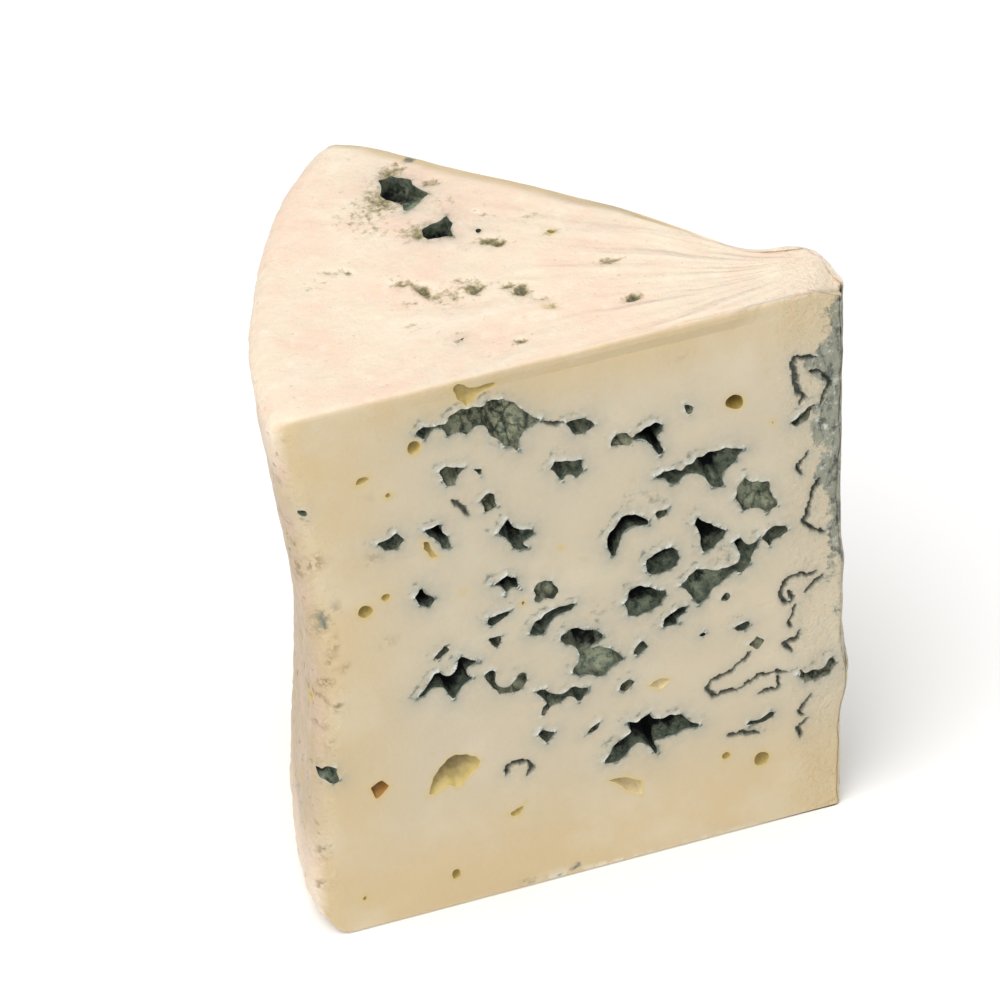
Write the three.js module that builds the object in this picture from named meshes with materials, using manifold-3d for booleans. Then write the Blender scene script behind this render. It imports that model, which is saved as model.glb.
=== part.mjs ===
// A wedge of blue cheese: one sector cut from a small drum-shaped wheel.
// Two straight cuts meet near the middle of the wheel, and the third side is the natural rind.
// Millimetres, +Z up. The base lies on z = 0 and the origin is under the middle of the bounding box.
// The front cut face is parallel to the XZ plane and faces -Y, with the tip of the wedge towards +X.

import * as THREE from 'three';
import { mergeVertices } from 'three/addons/utils/BufferGeometryUtils.js';
import Module from 'manifold-3d';

// Driving dimensions of the wedge.
const HEIGHT = 103;
const SECTOR_ANGLE = THREE.MathUtils.degToRad(46);
const TIP_SETBACK_TOP = 4;
const TIP_SETBACK_BASE = 6.5;
const TIP_CORNER = 1.5;

// The wheel: its rind leans in to a waist and flares out to a lip at the top.
const WHEEL_CENTRE = new THREE.Vector2(-2, -4);
const LIP_RADIUS = 95.5;
const WAIST_RADIUS = 91.5;
const WAIST_HEIGHT = 54;
const FOOT_RADIUS = 94;
const FOOT_HEIGHT = 11;
const LIP_HEIGHT = HEIGHT - 4;
const TOP_ROUND = 3.5;
const BASE_ROUND = 6;
const WHEEL_SIDES = 100;
const PROFILE_STEPS = 5;

// The cutting outline reaches past the rind and past both flat sides of the wheel.
const OUTLINE_REACH = 130;
const OVERRUN = 5;

// Pits: openings in a cut face, as [distance from the sharp edge, height, width, tallness, depth].
const FRONT_PITS = [
  [64, 89, 9, 6, 6], [57, 88, 7, 5, 5], [29, 84, 8, 5, 5], [41, 88, 6, 5, 5], [69, 79, 8, 4, 4],
  [20, 79, 9, 6, 6], [33, 70, 8, 8, 6], [20, 70, 7, 6, 5], [51, 71, 7, 5, 5], [64, 70, 5, 5, 4],
  [38, 57, 9, 5, 5], [46, 50, 6, 6, 4], [68, 53, 6, 4, 4], [66, 40, 9, 8, 6], [44, 46, 9, 7, 5],
  [57, 38, 6, 5, 4], [36, 29, 9, 7, 6], [29, 31, 9, 6, 5], [66, 25, 9, 6, 4], [77, 25, 5, 5, 4],
  [12, 66, 8, 5, 4], [17, 51, 7, 6, 4],
];
const BACK_PIT_COUNT = 22;
const BACK_PIT_SIZES = { near: 18, far: 78, low: 18, high: 88, width: 5, spread: 4, depth: 5 };
const SCATTER_STEP = new THREE.Vector2(0.7549, 0.5698);
const PIT_DETAIL = 1;

const wasm = await Module();
wasm.setup();

/** Turns a closed three.js geometry into a solid, with its shared vertices merged. */
function toSolid(geometry) {
  const bare = new THREE.BufferGeometry();
  bare.setAttribute('position', geometry.getAttribute('position'));
  if (geometry.index) bare.setIndex(geometry.index);
  const merged = mergeVertices(bare, 1e-4);
  const vertProperties = new Float32Array(merged.getAttribute('position').array);
  const triVerts = new Uint32Array(merged.index.array);
  return new wasm.Manifold(new wasm.Mesh({ numProp: 3, vertProperties, triVerts }));
}

/** Turns a solid back into a three.js geometry. */
function toGeometry(solid) {
  const { vertProperties, triVerts } = solid.getMesh();
  const geometry = new THREE.BufferGeometry();
  geometry.setAttribute('position', new THREE.BufferAttribute(vertProperties, 3));
  geometry.setIndex(new THREE.BufferAttribute(triVerts, 1));
  geometry.computeVertexNormals();
  return geometry;
}

/** The whole wheel, turned from the profile of its rind. */
function wheelGeometry() {
  const rind = new THREE.SplineCurve([
    new THREE.Vector2(FOOT_RADIUS, FOOT_HEIGHT),
    new THREE.Vector2((FOOT_RADIUS + WAIST_RADIUS) / 2, (FOOT_HEIGHT + WAIST_HEIGHT) / 2),
    new THREE.Vector2(WAIST_RADIUS, WAIST_HEIGHT),
    new THREE.Vector2((LIP_RADIUS + WAIST_RADIUS) / 2, (LIP_HEIGHT + WAIST_HEIGHT) / 2),
    new THREE.Vector2(LIP_RADIUS, LIP_HEIGHT),
  ]);
  const profile = new THREE.Path();
  profile.moveTo(0, 0);
  profile.lineTo(FOOT_RADIUS - BASE_ROUND, 0);
  profile.quadraticCurveTo(FOOT_RADIUS, 0, FOOT_RADIUS, FOOT_HEIGHT);
  profile.splineThru(rind.points.slice(1));
  profile.quadraticCurveTo(LIP_RADIUS, HEIGHT, LIP_RADIUS - TOP_ROUND, HEIGHT);
  profile.lineTo(0, HEIGHT);
  const wheel = new THREE.LatheGeometry(profile.getPoints(PROFILE_STEPS), WHEEL_SIDES);
  wheel.rotateX(Math.PI / 2);
  wheel.translate(WHEEL_CENTRE.x, WHEEL_CENTRE.y, 0);
  return wheel;
}

/** The space between the two cuts, with the sharp edge broken off more at the base than at the top. */
function sectorGeometry() {
  const along = (angle, reach) => [-Math.cos(angle) * reach, Math.sin(angle) * reach];
  const outline = new THREE.Shape();
  outline.moveTo(...along(0, TIP_SETBACK_TOP + TIP_CORNER));
  outline.lineTo(...along(0, OUTLINE_REACH));
  outline.lineTo(...along(SECTOR_ANGLE / 2, OUTLINE_REACH * 1.5));
  outline.lineTo(...along(SECTOR_ANGLE, OUTLINE_REACH));
  outline.lineTo(...along(SECTOR_ANGLE, TIP_SETBACK_TOP + TIP_CORNER));
  outline.lineTo(...along(SECTOR_ANGLE / 2, TIP_SETBACK_TOP));
  const sector = new THREE.ExtrudeGeometry(outline, { depth: HEIGHT + 2 * OVERRUN, bevelEnabled: false });
  sector.translate(0, 0, -OVERRUN);
  return sector;
}

/** The piece that the base of the tip has lost: a block that leans in towards the base. */
function tipBreakGeometry() {
  const lean = Math.atan2(TIP_SETBACK_BASE - TIP_SETBACK_TOP, HEIGHT);
  const block = new THREE.BoxGeometry(OUTLINE_REACH, OUTLINE_REACH, 3 * HEIGHT);
  block.translate(OUTLINE_REACH / 2, 0, 0);
  block.rotateY(lean);
  block.translate(-TIP_SETBACK_TOP, 0, HEIGHT);
  block.rotateZ(-SECTOR_ANGLE / 2);
  return block;
}

/** One pit of the front face: a squashed ball, centred in the face. */
function pitGeometry([reach, height, width, tallness, depth]) {
  const pit = new THREE.IcosahedronGeometry(1, PIT_DETAIL);
  pit.rotateX(reach);
  pit.rotateY(height);
  pit.scale(width / 2, depth, tallness / 2);
  pit.translate(-reach, 0, height);
  return pit;
}

/** The pits of the front face. */
function frontPits() {
  return FRONT_PITS.map(pitGeometry);
}

/** The pits of the back face, spread evenly over its middle and turned onto its plane. */
function backPits() {
  const { near, far, low, high, width, spread, depth } = BACK_PIT_SIZES;
  return Array.from({ length: BACK_PIT_COUNT }, (_, i) => {
    const across = ((i + 1) * SCATTER_STEP.x) % 1;
    const up = ((i + 1) * SCATTER_STEP.y) % 1;
    const pit = pitGeometry([
      THREE.MathUtils.lerp(near, far, across),
      THREE.MathUtils.lerp(low, high, up),
      width + spread * up,
      width + spread * across * up,
      depth,
    ]);
    return pit.rotateZ(-SECTOR_ANGLE);
  });
}

/** The finished wedge, moved so that its origin is under the middle of its bounding box. */
function wedgeGeometry() {
  let wedge = toSolid(wheelGeometry()).intersect(toSolid(sectorGeometry()));
  wedge = wedge.subtract(toSolid(tipBreakGeometry()));
  for (const pit of [...frontPits(), ...backPits()]) wedge = wedge.subtract(toSolid(pit));
  const geometry = toGeometry(wedge);
  geometry.computeBoundingBox();
  const middle = geometry.boundingBox.getCenter(new THREE.Vector3());
  return geometry.translate(-middle.x, -middle.y, 0);
}

const paste = new THREE.MeshStandardMaterial({ color: 0xe9d9b4, roughness: 0.55, metalness: 0 });
const wedge = new THREE.Mesh(wedgeGeometry(), paste);
wedge.name = 'cheese_wedge';

const group = new THREE.Group();
group.add(wedge);

export default group;
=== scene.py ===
"""A wedge of blue cheese standing on a pale floor, modelled around its CAD solid.

The wedge is swept from its front cut face, given its rind, and then opened with the gaps that curd
grains leave between them. Lengths are in metres, and the constant MM turns millimetres into them.
"""

import logging
import math
import random
from dataclasses import dataclass, field, replace
from enum import Enum

import bmesh
import bpy
import numpy as np
from mathutils import Matrix, Vector, noise
from mathutils.kdtree import KDTree


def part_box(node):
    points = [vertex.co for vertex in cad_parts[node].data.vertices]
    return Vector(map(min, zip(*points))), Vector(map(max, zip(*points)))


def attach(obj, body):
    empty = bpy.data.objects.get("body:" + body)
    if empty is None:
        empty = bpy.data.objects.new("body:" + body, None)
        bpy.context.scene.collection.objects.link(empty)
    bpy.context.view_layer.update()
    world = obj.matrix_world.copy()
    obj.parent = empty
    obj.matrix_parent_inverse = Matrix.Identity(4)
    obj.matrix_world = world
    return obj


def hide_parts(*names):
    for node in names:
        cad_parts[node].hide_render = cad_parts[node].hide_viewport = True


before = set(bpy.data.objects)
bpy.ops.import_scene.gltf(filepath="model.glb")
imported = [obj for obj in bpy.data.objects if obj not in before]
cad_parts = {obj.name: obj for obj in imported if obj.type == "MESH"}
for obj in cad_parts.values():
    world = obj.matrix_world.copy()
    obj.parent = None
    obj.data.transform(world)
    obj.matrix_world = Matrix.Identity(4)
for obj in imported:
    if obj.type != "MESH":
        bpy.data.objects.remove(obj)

LOG = logging.getLogger("cheese_wedge")
MM = 0.001
UP = Vector((0.0, 0.0, 1.0))
CAD_NODE = "cheese_wedge"
GRAIN_SIZE = 2.6 * MM
CRUMB_SIZE = 1.1 * MM
CRACK_HALF_WIDTH = 0.24
DEEPEST = 8 * MM
FRONT_SKIN = 2.5 * MM
BACK_OPENINGS = 74
BACK_TRIES = 900
BACK_GAP = 1.6
RIND_PITS = 64
DENT_STRENGTH = 0.5

Point2 = tuple[float, float]
Outline = list[Point2]


class Lining(Enum):
    """What covers the inside of an opening."""

    MOULD = "mould"
    BARE = "bare"


class Side(Enum):
    """The side of the wedge that an opening is in."""

    FRONT = "front"
    BACK = "back"
    TOP = "top"
    RIND = "rind"


SHOWN = (Side.FRONT, Side.TOP)
HIDDEN = (Side.BACK, Side.RIND)


@dataclass(frozen=True)
class Opening:
    """One gap between curd grains, drawn on a side of the wedge.

    The outline's points are corners in millimetres: (distance from the tip, height) on a cut face.
    Each stretch between two corners bows in by the share `bow` of its length, as a round grain
    bulges into the gap. A negative bow makes a rounded outline. The tone goes from 0 for the
    darkest mould to 1 for the palest, and for a bare opening from yellow to orange-brown. For a
    mouldy opening a low tone also means more painted shade in its depths and under its upper rim.
    """

    outline: tuple[Point2, ...]
    depth: float = 6.0
    lining: Lining = Lining.MOULD
    side: Side = Side.FRONT
    bow: float = 0.1
    tone: float = 0.35


# The openings of the front cut face, as (distance from the tip, height) in millimetres.
FRONT_MOULD = (
    Opening(((74.4, 94.7), (73.3, 95.8), (70.8, 95.3), (69.2, 95.1), (68.9, 96.3), (67.2, 97.1),
             (64.8, 97), (62.6, 96.7), (62.9, 97.7), (60.2, 97.2), (58.6, 96.1), (57.3, 94.5), (56, 92.8),
             (54.1, 91.6), (55.8, 91.2), (56.9, 90.8), (57.8, 89.8), (58.4, 88.4), (58, 87), (59.5, 88.4),
             (60.3, 88.3), (61, 89.8), (62.3, 91.2), (62.6, 92.2), (64.1, 93.9), (65.5, 93.4),
             (66.4, 92.7), (68.2, 93.5), (69.6, 93), (70.1, 94.7), (71.7, 95.2),
             (73.1, 93.4)), 4.5, tone=0.66),
    Opening(((71.1, 86.7), (70.2, 87.2), (68.6, 86.6), (66.9, 86.4), (68, 85.8), (68.6, 85), (69, 83.8),
             (70.1, 83.7), (70.8, 85)), 3.5, tone=0.58),
    Opening(((65.9, 85.8), (64.5, 85.2), (64.1, 83.4), (64.7, 84.5)), 2, tone=0.8),
    Opening(((74, 76.1), (72.6, 76.2), (71.5, 76.5), (71.8, 75.6), (70.5, 73.9), (70.1, 71.8),
             (71.2, 72.2), (72.2, 73.8), (73.2, 75.1)), 5, tone=0.2),
    Opening(((64.8, 79), (63.4, 80.1), (62.6, 79.7), (62.6, 78.4), (61.9, 77.2), (64.1, 76.7),
             (63.8, 77.7)), 3, tone=0.72),
    Opening(((62.4, 72.1), (61.2, 73.1), (60.6, 74.2), (60.1, 73.1), (59.1, 71.8), (57.7, 71.1),
             (56.6, 71.1), (56.4, 70.3), (57.5, 69.7), (58.7, 69.1), (57.3, 67.7), (58.7, 67.9),
             (59.8, 68.7), (60.5, 70.3), (61.6, 71.6)), 5, tone=0.3),
    Opening(((62.3, 62.4), (61.7, 63.1), (61.1, 63.6), (59.8, 62.8), (59.5, 61.4), (59, 60.3),
             (60.7, 61.5), (61.6, 59.8), (61.8, 61.5), (63.6, 62.7)), 4.5, tone=0.1),
    Opening(((50.1, 89.8), (48.4, 89.7), (47.1, 89.9), (46.3, 88.7), (45.2, 87.9), (46.3, 87.7),
             (47.2, 87), (48.6, 87), (49.1, 87.6), (49.3, 88.6)), 4, tone=0.48),
    Opening(((53, 81.7), (52.3, 82.9), (50.4, 82.3), (47.8, 81.9), (48, 80.8), (47.4, 80), (48.9, 79.1),
             (49.9, 80.1), (50.8, 80), (51.1, 78.8), (51.6, 79.6), (51.8, 80.7)), 4, tone=0.4),
    Opening(((42.9, 82.9), (42.6, 84.4), (42, 85.3), (39.8, 84.9), (39.6, 83.5), (39.6, 82.5),
             (41.5, 83)), 2.5, tone=0.9),
    Opening(((38.7, 84.2), (37, 85), (35.7, 85.4), (34.6, 84.9), (34.7, 84), (35.7, 83.3), (35.2, 81.6),
             (34.6, 79.8), (35, 79.2), (35.8, 80.8), (36.9, 82.4), (38.8, 83.4)), 6, tone=0.06),
    Opening(((36, 75.3), (34.6, 75.9), (32.9, 75.7), (32.1, 75.1), (32.7, 74.3), (31.6, 75), (30.7, 76),
             (29.3, 75.9), (29, 76.7), (27, 77.2), (24.5, 77.4), (22.6, 76.9), (21.1, 76.4), (22.3, 75.8),
             (22.6, 74.6), (23.8, 74), (24.9, 73), (25.2, 71.5), (24.7, 70.3), (26.7, 70.6), (27.2, 72.4),
             (28.5, 74.1), (29.6, 74.6), (31.3, 74.6), (32.4, 73.3), (33.4, 73.2),
             (33.8, 74.2)), 5, tone=0.35),
    # This crescent is only the shadowed upper part of a larger hollow whose lit lower floor is left as paste;
    # its tone of 0 paints that shadow black.
    Opening(((43.8, 62.3), (44.3, 64.1), (44.2, 65.7), (43.7, 66.8), (42.9, 67.4), (42.3, 68.4),
             (41.8, 69.2), (40.9, 69.2), (39.8, 69.1), (38.4, 68.4), (37.4, 67.4), (37.5, 66.6),
             (38.8, 67.1), (40.2, 67.1), (41.6, 66.5), (42.4, 65.5), (42.9, 64), (43.4, 62.5)), 6, tone=0),
    Opening(((23, 67.2), (22.2, 69.6), (21.1, 70.9), (20.3, 69.7), (19.1, 69.3), (17.2, 68.4),
             (16.8, 66.3), (16.2, 64.8), (15.6, 63.4), (16.8, 63.4), (17.6, 62.6), (18.7, 64.3),
             (20.1, 64.7), (21.8, 64.5), (22, 65.9)), 3.5, tone=0.55),
    Opening(((29.7, 64.3), (29.3, 65.5), (28.3, 64.2), (27.2, 63.5), (25.8, 62.4), (24.7, 61.5),
             (25.3, 60.3), (27, 58.9), (28.4, 58.3), (28.7, 60), (29.1, 62.5)), 5.5, tone=0.1),
    Opening(((38, 57.5), (38.2, 58.9), (37.9, 59.8), (36.5, 60.4), (35.1, 61), (33.9, 61.1), (33.1, 60),
             (32.8, 58.6), (33.2, 57.4), (34.4, 56.8), (36.1, 56.6), (37.5, 56.7)), 5, tone=0.25),
    Opening(((56.7, 57.3), (56.7, 59.3), (56, 60.4), (54.9, 60.8), (53.9, 60.2), (53.4, 58.9),
             (52.9, 57.8), (53.6, 57), (55, 57.3), (56.1, 56.9)), 2.5, tone=0.6),
    Opening(((57.8, 51), (57.5, 51.9), (56.6, 52.9), (55.2, 53.8), (53.7, 54.4), (52.9, 54.6),
             (51.5, 54.4), (50.2, 54.7), (51, 54), (52.4, 53.6), (54.1, 52.8), (55, 51.5), (55.6, 50.3),
             (56.7, 50.6)), 5, tone=0.25),
    Opening(((64.8, 55.5), (64.6, 56.4), (63.4, 56.2), (62.3, 56.3), (60.6, 56.8), (61.7, 56),
             (62.9, 55.4), (63.7, 55.1), (64.3, 54.6)), 4, tone=0.1),
    Opening(((64.7, 52.1), (63.3, 52.2), (62.5, 52.1), (62.8, 50.9), (63.4, 50.1),
             (64.2, 51.1)), 2.5, tone=0.75),
    Opening(((77.1, 44.1), (76.1, 45), (75, 46.3), (73.9, 48), (73.2, 48.1), (72.1, 46.9), (71, 46.9),
             (70.3, 47.9), (70.2, 49.5), (69.4, 50.2), (68.7, 49.4), (67.3, 48.6), (66.4, 48.1),
             (68.5, 48), (69, 46.8), (67.5, 45.2), (68.8, 45), (70.1, 44.1), (70.5, 43.3), (70.9, 42),
             (71.8, 43.6), (72.2, 45), (73.6, 45.7), (75, 45.3), (75.9, 44.4)), 6, tone=0.1),
    Opening(((73.9, 51.3), (73, 52.3), (72, 52.7), (71.3, 52.2), (72.2, 51.6),
             (73.1, 50.7)), 2.5, tone=0.55),
    Opening(((65.6, 45.1), (64.6, 45.6), (63.9, 45.2), (64.2, 44.3), (64.3, 43.3), (63.2, 41.6),
             (62.1, 41.3), (60.9, 42.3), (60.1, 43.4), (59, 43.2), (58.7, 41.9), (59.6, 40.5), (61, 40.1),
             (63.3, 40.7), (64.3, 42.3), (65.1, 43.9)), 3, tone=0.7),
    Opening(((52.6, 48.1), (52.3, 49), (51.4, 49.7), (50, 49.6), (48.1, 48.8), (46.7, 48.4), (45.8, 47.1),
             (45.7, 46.6), (46.8, 45.9), (48.2, 45.7), (48.8, 45.2), (46.6, 45), (44.6, 43.9),
             (43.3, 42.5), (42.5, 41.3), (43.9, 40.7), (45.1, 40), (45.7, 39.2), (47.1, 39.3),
             (48.7, 40.2), (49.8, 40), (50.9, 40.9), (50.6, 41.8), (49.7, 43.2), (49.8, 45.2),
             (50.7, 46.8), (51.8, 47.1)), 4.5, tone=0.5),
    Opening(((57.4, 39.2), (56.3, 39.2), (55.5, 39.2), (55, 38.1), (53.9, 37.4), (52.2, 37.4), (51, 37.9),
             (49.7, 37.4), (48.4, 37.4), (48.6, 36.6), (49.7, 35.8), (50.3, 34.9), (50.8, 36.6),
             (52.5, 36.6), (53.4, 35.9), (55.1, 35.9), (56.1, 37.3), (56.9, 38.7)), 3.5, tone=0.5),
    Opening(((56.2, 35.8), (55.4, 35.5), (55.8, 34.6), (56.4, 33.8), (56.5, 34.5)), 2, tone=0.9),
    Opening(((57.3, 30.4), (56.6, 31.5), (56.1, 30.7), (54.5, 30.2), (55.3, 29.4), (55.9, 28.4),
             (56.7, 29.5)), 3.5, tone=0.4),
    Opening(((49.5, 27.9), (48.3, 28.9), (46.8, 30), (47.5, 28.8), (48.6, 28.2)), 2.5, tone=0.6),
    Opening(((41.3, 49.9), (41.4, 51.3), (42.1, 52.2), (41.2, 52.9), (41.3, 53.9), (40.9, 54.8),
             (39.5, 54.9), (37.8, 54.3), (36.7, 53.4), (35.3, 52.8), (35, 51.7), (36, 50.3), (37.7, 49.5),
             (39.9, 49.3)), 5.5, tone=0.3),
    Opening(((32.5, 52.9), (31.1, 54.1), (29.6, 55.3), (28, 54.5), (25.5, 53.8), (23.2, 54.1),
             (22.3, 54.8), (22.3, 56.4), (23.4, 58.7), (22.5, 59.2), (21.2, 57.1), (20, 57.1),
             (18.9, 58.4), (19.5, 56.6), (20.6, 55.3), (20.7, 53.6), (22.4, 52.2), (22.9, 53.3),
             (24.7, 52.2), (26.1, 51.3), (27.2, 51), (28.1, 49.2), (29.6, 48), (30.4, 49.6),
             (31.2, 51.8)), 5, tone=0.42),
    Opening(((18.3, 57.9), (17.7, 59), (16.3, 59.6), (14.6, 59.1), (13.9, 58.2), (15.5, 57.4),
             (16.9, 57.1), (17.2, 55.9), (17.8, 57.4)), 3.5, tone=0.45),
    Opening(((25.8, 47.9), (25, 49), (24.1, 48.3), (24.8, 47.6)), 1.5, tone=1),
    Opening(((35.6, 45.5), (35.3, 46.7), (34.1, 47.7), (32.7, 48.3), (31.5, 48.4), (31.9, 47.4),
             (33.3, 46.8), (33.6, 46.2), (33, 45.4), (34.4, 45.8)), 4.5, tone=0.08),
    Opening(((40.6, 41.7), (40.2, 42.6), (39.3, 43.6), (38.6, 42.4), (39.4, 41.5),
             (40.2, 41.1)), 3.5, tone=0.35),
    Opening(((23.7, 41.7), (22.1, 42), (21.3, 42.3), (20.9, 41.4), (21.9, 40.6), (23, 41)), 3, tone=0.45),
    Opening(((29.5, 42), (28.9, 42.5), (28.4, 42), (29, 41.4)), 2.5, tone=0),
    Opening(((43.3, 35.1), (42.9, 36), (41.8, 36.7), (41, 36.1), (41.6, 34.9), (42.7, 34.6)), 3, tone=0.8),
    Opening(((46.2, 21.4), (45.4, 22.6), (44.8, 24.1), (43.9, 25.1), (42.2, 25.6), (41.3, 26),
             (41.6, 27.1), (42.4, 28.2), (41.3, 27.7), (39.8, 28), (38.5, 28.9), (38.1, 27.8),
             (36.7, 27.2), (35, 27.1), (33.3, 27.1), (32.2, 25.9), (31.7, 24.9), (30, 24), (30.9, 23.8),
             (32.3, 24.2), (34.3, 23.5), (36.3, 23.4), (38, 23.3), (37.5, 21.8), (37.3, 20.3),
             (38.1, 20.9), (39.2, 23), (40.5, 24.1), (41.4, 23.7), (42.9, 21.8),
             (44.3, 20.8)), 6, tone=0.2),
    Opening(((21.9, 21.7), (21.5, 22.2), (20.1, 21.8), (18.8, 22.2), (18, 23.2), (17.4, 22.6),
             (17.7, 21.9), (19.1, 21.7), (20.5, 21.3), (21.7, 21.2)), 3, tone=0.35),
    Opening(((81.7, 75.8), (80, 76), (78.8, 77), (77.8, 75.5), (78.8, 74.2), (80.5, 74.5)), 5.0, tone=0.45),
    Opening(((75.2, 65.3), (73.3, 62.9), (74.3, 61.7), (75.6, 62.3), (76.3, 63.8)), 5.5, tone=0.05),
    Opening(((21.3, 37.5), (20, 38.7), (18.7, 37.6), (19.9, 36.3)), 1.5, tone=0.95),
    Opening(((36.2, 68.5), (34, 69), (34.4, 67.8), (35.8, 67.4)), 3.0, tone=0.6),
    Opening(((30.7, 88), (29.4, 87), (29.9, 85.6), (30.5, 86.4)), 2.5, tone=1),
    Opening(((94, 33.6), (92.9, 33.3), (92.2, 34.3), (91, 34), (91.1, 32.8), (90.5, 31.7), (91.6, 31),
             (92.4, 31.5), (93.6, 31.2), (93.4, 32.4)), 3.2, tone=0.35),
    Opening(((94.2, 85.3), (93, 85.2), (92.9, 84.2), (94, 84)), 2.0, tone=0.4),
    Opening(((13.2, 28.9), (11.8, 28.6), (10.2, 28.9), (8.6, 28.8), (7.4, 30.8), (6.6, 29.4), (8, 27.6),
             (9.6, 27.2), (11.9, 27.3)), 4.0, tone=0.75),
    Opening(((13.2, 79), (11.6, 80), (9.4, 81.4), (10.6, 79), (12.2, 78.2)), 3.0, tone=0.8),
)

FRONT_BARE = (
    Opening(((68.4, 101.8), (67.5, 102.4), (65.9, 101.8), (66.4, 101.1), (65, 100.8), (63, 100.8),
             (60.6, 101), (61.6, 100), (63.9, 99.3), (65, 98.4), (66.1, 97.4),
             (67.7, 99.2)), 1.6, tone=0.5),
    Opening(((76, 92.5), (75, 93.5), (73.9, 92.3), (75, 91.1)), 2.5, bow=-0.2, tone=0.3),
    Opening(((84.8, 88), (84, 89.3), (82.5, 88.8), (83.4, 87.9)), 1.6, bow=-0.05, tone=0.1),
    Opening(((80.3, 84.7), (79.6, 85.2), (79, 84.4), (79.7, 84)), 1.5, bow=-0.1, tone=0.1),
    Opening(((74.7, 74.6), (73.4, 73.6), (72, 70.4), (73.4, 70.6), (74.3, 72.6)), 1.6),
    Opening(((85.7, 63.6), (84.6, 64.8), (83.3, 63.6), (84.5, 62.3)), 2.4, bow=-0.2, tone=0.35),
    Opening(((81.8, 65.3), (81, 66), (80.3, 65.2), (81, 64.6)), 1.2, bow=-0.15),
    Opening(((23.9, 86.4), (22.8, 87.4), (21, 86.3), (21.4, 84.7), (23, 84.8)), 3.5, bow=-0.15, tone=0.75),
    Opening(((85.8, 28.7), (83.6, 29.5), (82.4, 27.9), (84.6, 25.9)), 2.6, bow=0.0, tone=0.9),
    Opening(((76.2, 23.8), (75.7, 25.3), (75.1, 27.5), (73.9, 28.8), (72.4, 30.4), (71.3, 30.7),
             (69.3, 30.1), (67.7, 29.2), (66.9, 28), (67.5, 26.8), (69, 25.6), (70.2, 24.2), (71.3, 23.9),
             (72.4, 24.9), (73.5, 24.3), (75, 23.7)), 3.2, tone=0.2),
    Opening(((63, 16.1), (61.5, 16.7), (59.8, 17.5), (60.4, 16.4), (61, 15.2),
             (62.1, 15.2)), 1.6, tone=0.3),
    Opening(((72.9, 7.2), (72, 7.8), (71.6, 6.3), (72.6, 5.8)), 1.8, bow=-0.1),
    Opening(((88.1, 6.7), (87.4, 7), (87.3, 6.1), (88, 6)), 1.2, bow=-0.1),
    Opening(((45.9, 17.4), (43, 17.3), (40, 15.5), (40.2, 12.6), (42.6, 14)), 1.8, bow=0.03, tone=0.04),
    Opening(((21, 13.7), (19.8, 15.1), (18.3, 13.6), (19.8, 12.4)), 2.6, bow=-0.2, tone=0.35),
    Opening(((26.6, 16.6), (25.6, 17.2), (25, 16.2), (25.9, 15.6)), 1.2, bow=-0.1),
    Opening(((38.4, 34.4), (36.8, 35.3), (34.9, 34.6), (36.4, 33.2)), 1.4, bow=-0.05, tone=0.0),
    Opening(((59.1, 57.6), (58.5, 57.9), (58.3, 57.2), (58.9, 57)), 2.0, bow=-0.1),
    Opening(((52.4, 66.4), (51.7, 66.3), (51.9, 65.8)), 1.2, bow=-0.1),
    Opening(((16.6, 80.4), (16, 80.4), (16.2, 79.7)), 1.2, bow=-0.1),
    Opening(((68.8, 62.8), (68.1, 62.6), (68.4, 62.1)), 1.2, bow=-0.1),
)

# Hair cracks of the front face: the points that each one runs through, from end to end.
FRONT_CRACKS: tuple[tuple[Point2, ...], ...] = (
    ((8.7, 90.5), (10.7, 90.9), (12.4, 91.2), (12.7, 89.9), (12.1, 88.2), (12.3, 86.2), (11.5, 84.2),
     (10.7, 83.2), (11.6, 82.3)),
    ((9.8, 87.9), (8.4, 87.9), (7.1, 86), (6.6, 84.7), (7.5, 82.6), (7.9, 81.2)),
    ((9.1, 81.1), (10.1, 80.7), (11, 79.4)),
    ((10.3, 72.7), (11.1, 71.2), (12.2, 70.1), (11.9, 68.9), (11.4, 68.1)),
    ((8.5, 66.5), (9.7, 64.2), (10.3, 62.4), (10.6, 59.9), (11.2, 58.9), (9.9, 57), (7.9, 55.8)),
    ((9.5, 48.6), (10.9, 48.3), (13.2, 49), (14.6, 48.5), (15.3, 47), (15.6, 45.4), (15.1, 44.1),
     (14.1, 43.6), (13.7, 44.8), (14.4, 46.2)),
    ((13.4, 43.1), (13.8, 41.2), (14.4, 40), (14.1, 38.7)),
    ((8.6, 47.7), (10.1, 46.1), (11.5, 45.2)),
    ((12.7, 37.8), (13.1, 36.5), (15.2, 35.7), (13.8, 33.7)),
    ((21.1, 36), (21.5, 34.9), (23.2, 34.2), (24.5, 32.9), (26.4, 32.3), (27.9, 32.2), (28.6, 30.6),
     (27.5, 28.8), (26.5, 29.1), (23.4, 29.1), (21.3, 29.9), (19.6, 30.6), (16.8, 30.6), (14.8, 29.9)),
    ((16.6, 29.7), (16.4, 27.2), (18.3, 27.3), (20, 27.1)),
    ((12.6, 29.6), (11.9, 27.8), (10.7, 28.3), (9.7, 27.1), (9.3, 28.4), (7.6, 28.5), (7.2, 30)),
    ((11.1, 24.3), (12, 22.9), (13.1, 21.2), (12.4, 20.2)),
    ((11.6, 19.5), (13.2, 18), (12.9, 15.8)),
    ((54.1, 91), (51.7, 90), (50.3, 89.8)),
    ((63, 23.6), (62.6, 25.4), (60.8, 26), (59, 25.4), (58.4, 23.8), (59.6, 22.8)),
    ((73.8, 51), (72.4, 52.4), (71.2, 52.9)),
    ((69.6, 80.6), (68, 79.4), (66.6, 76.8)),
    ((25.4, 20.4), (23.3, 20.1), (20, 19.2)),
)

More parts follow.
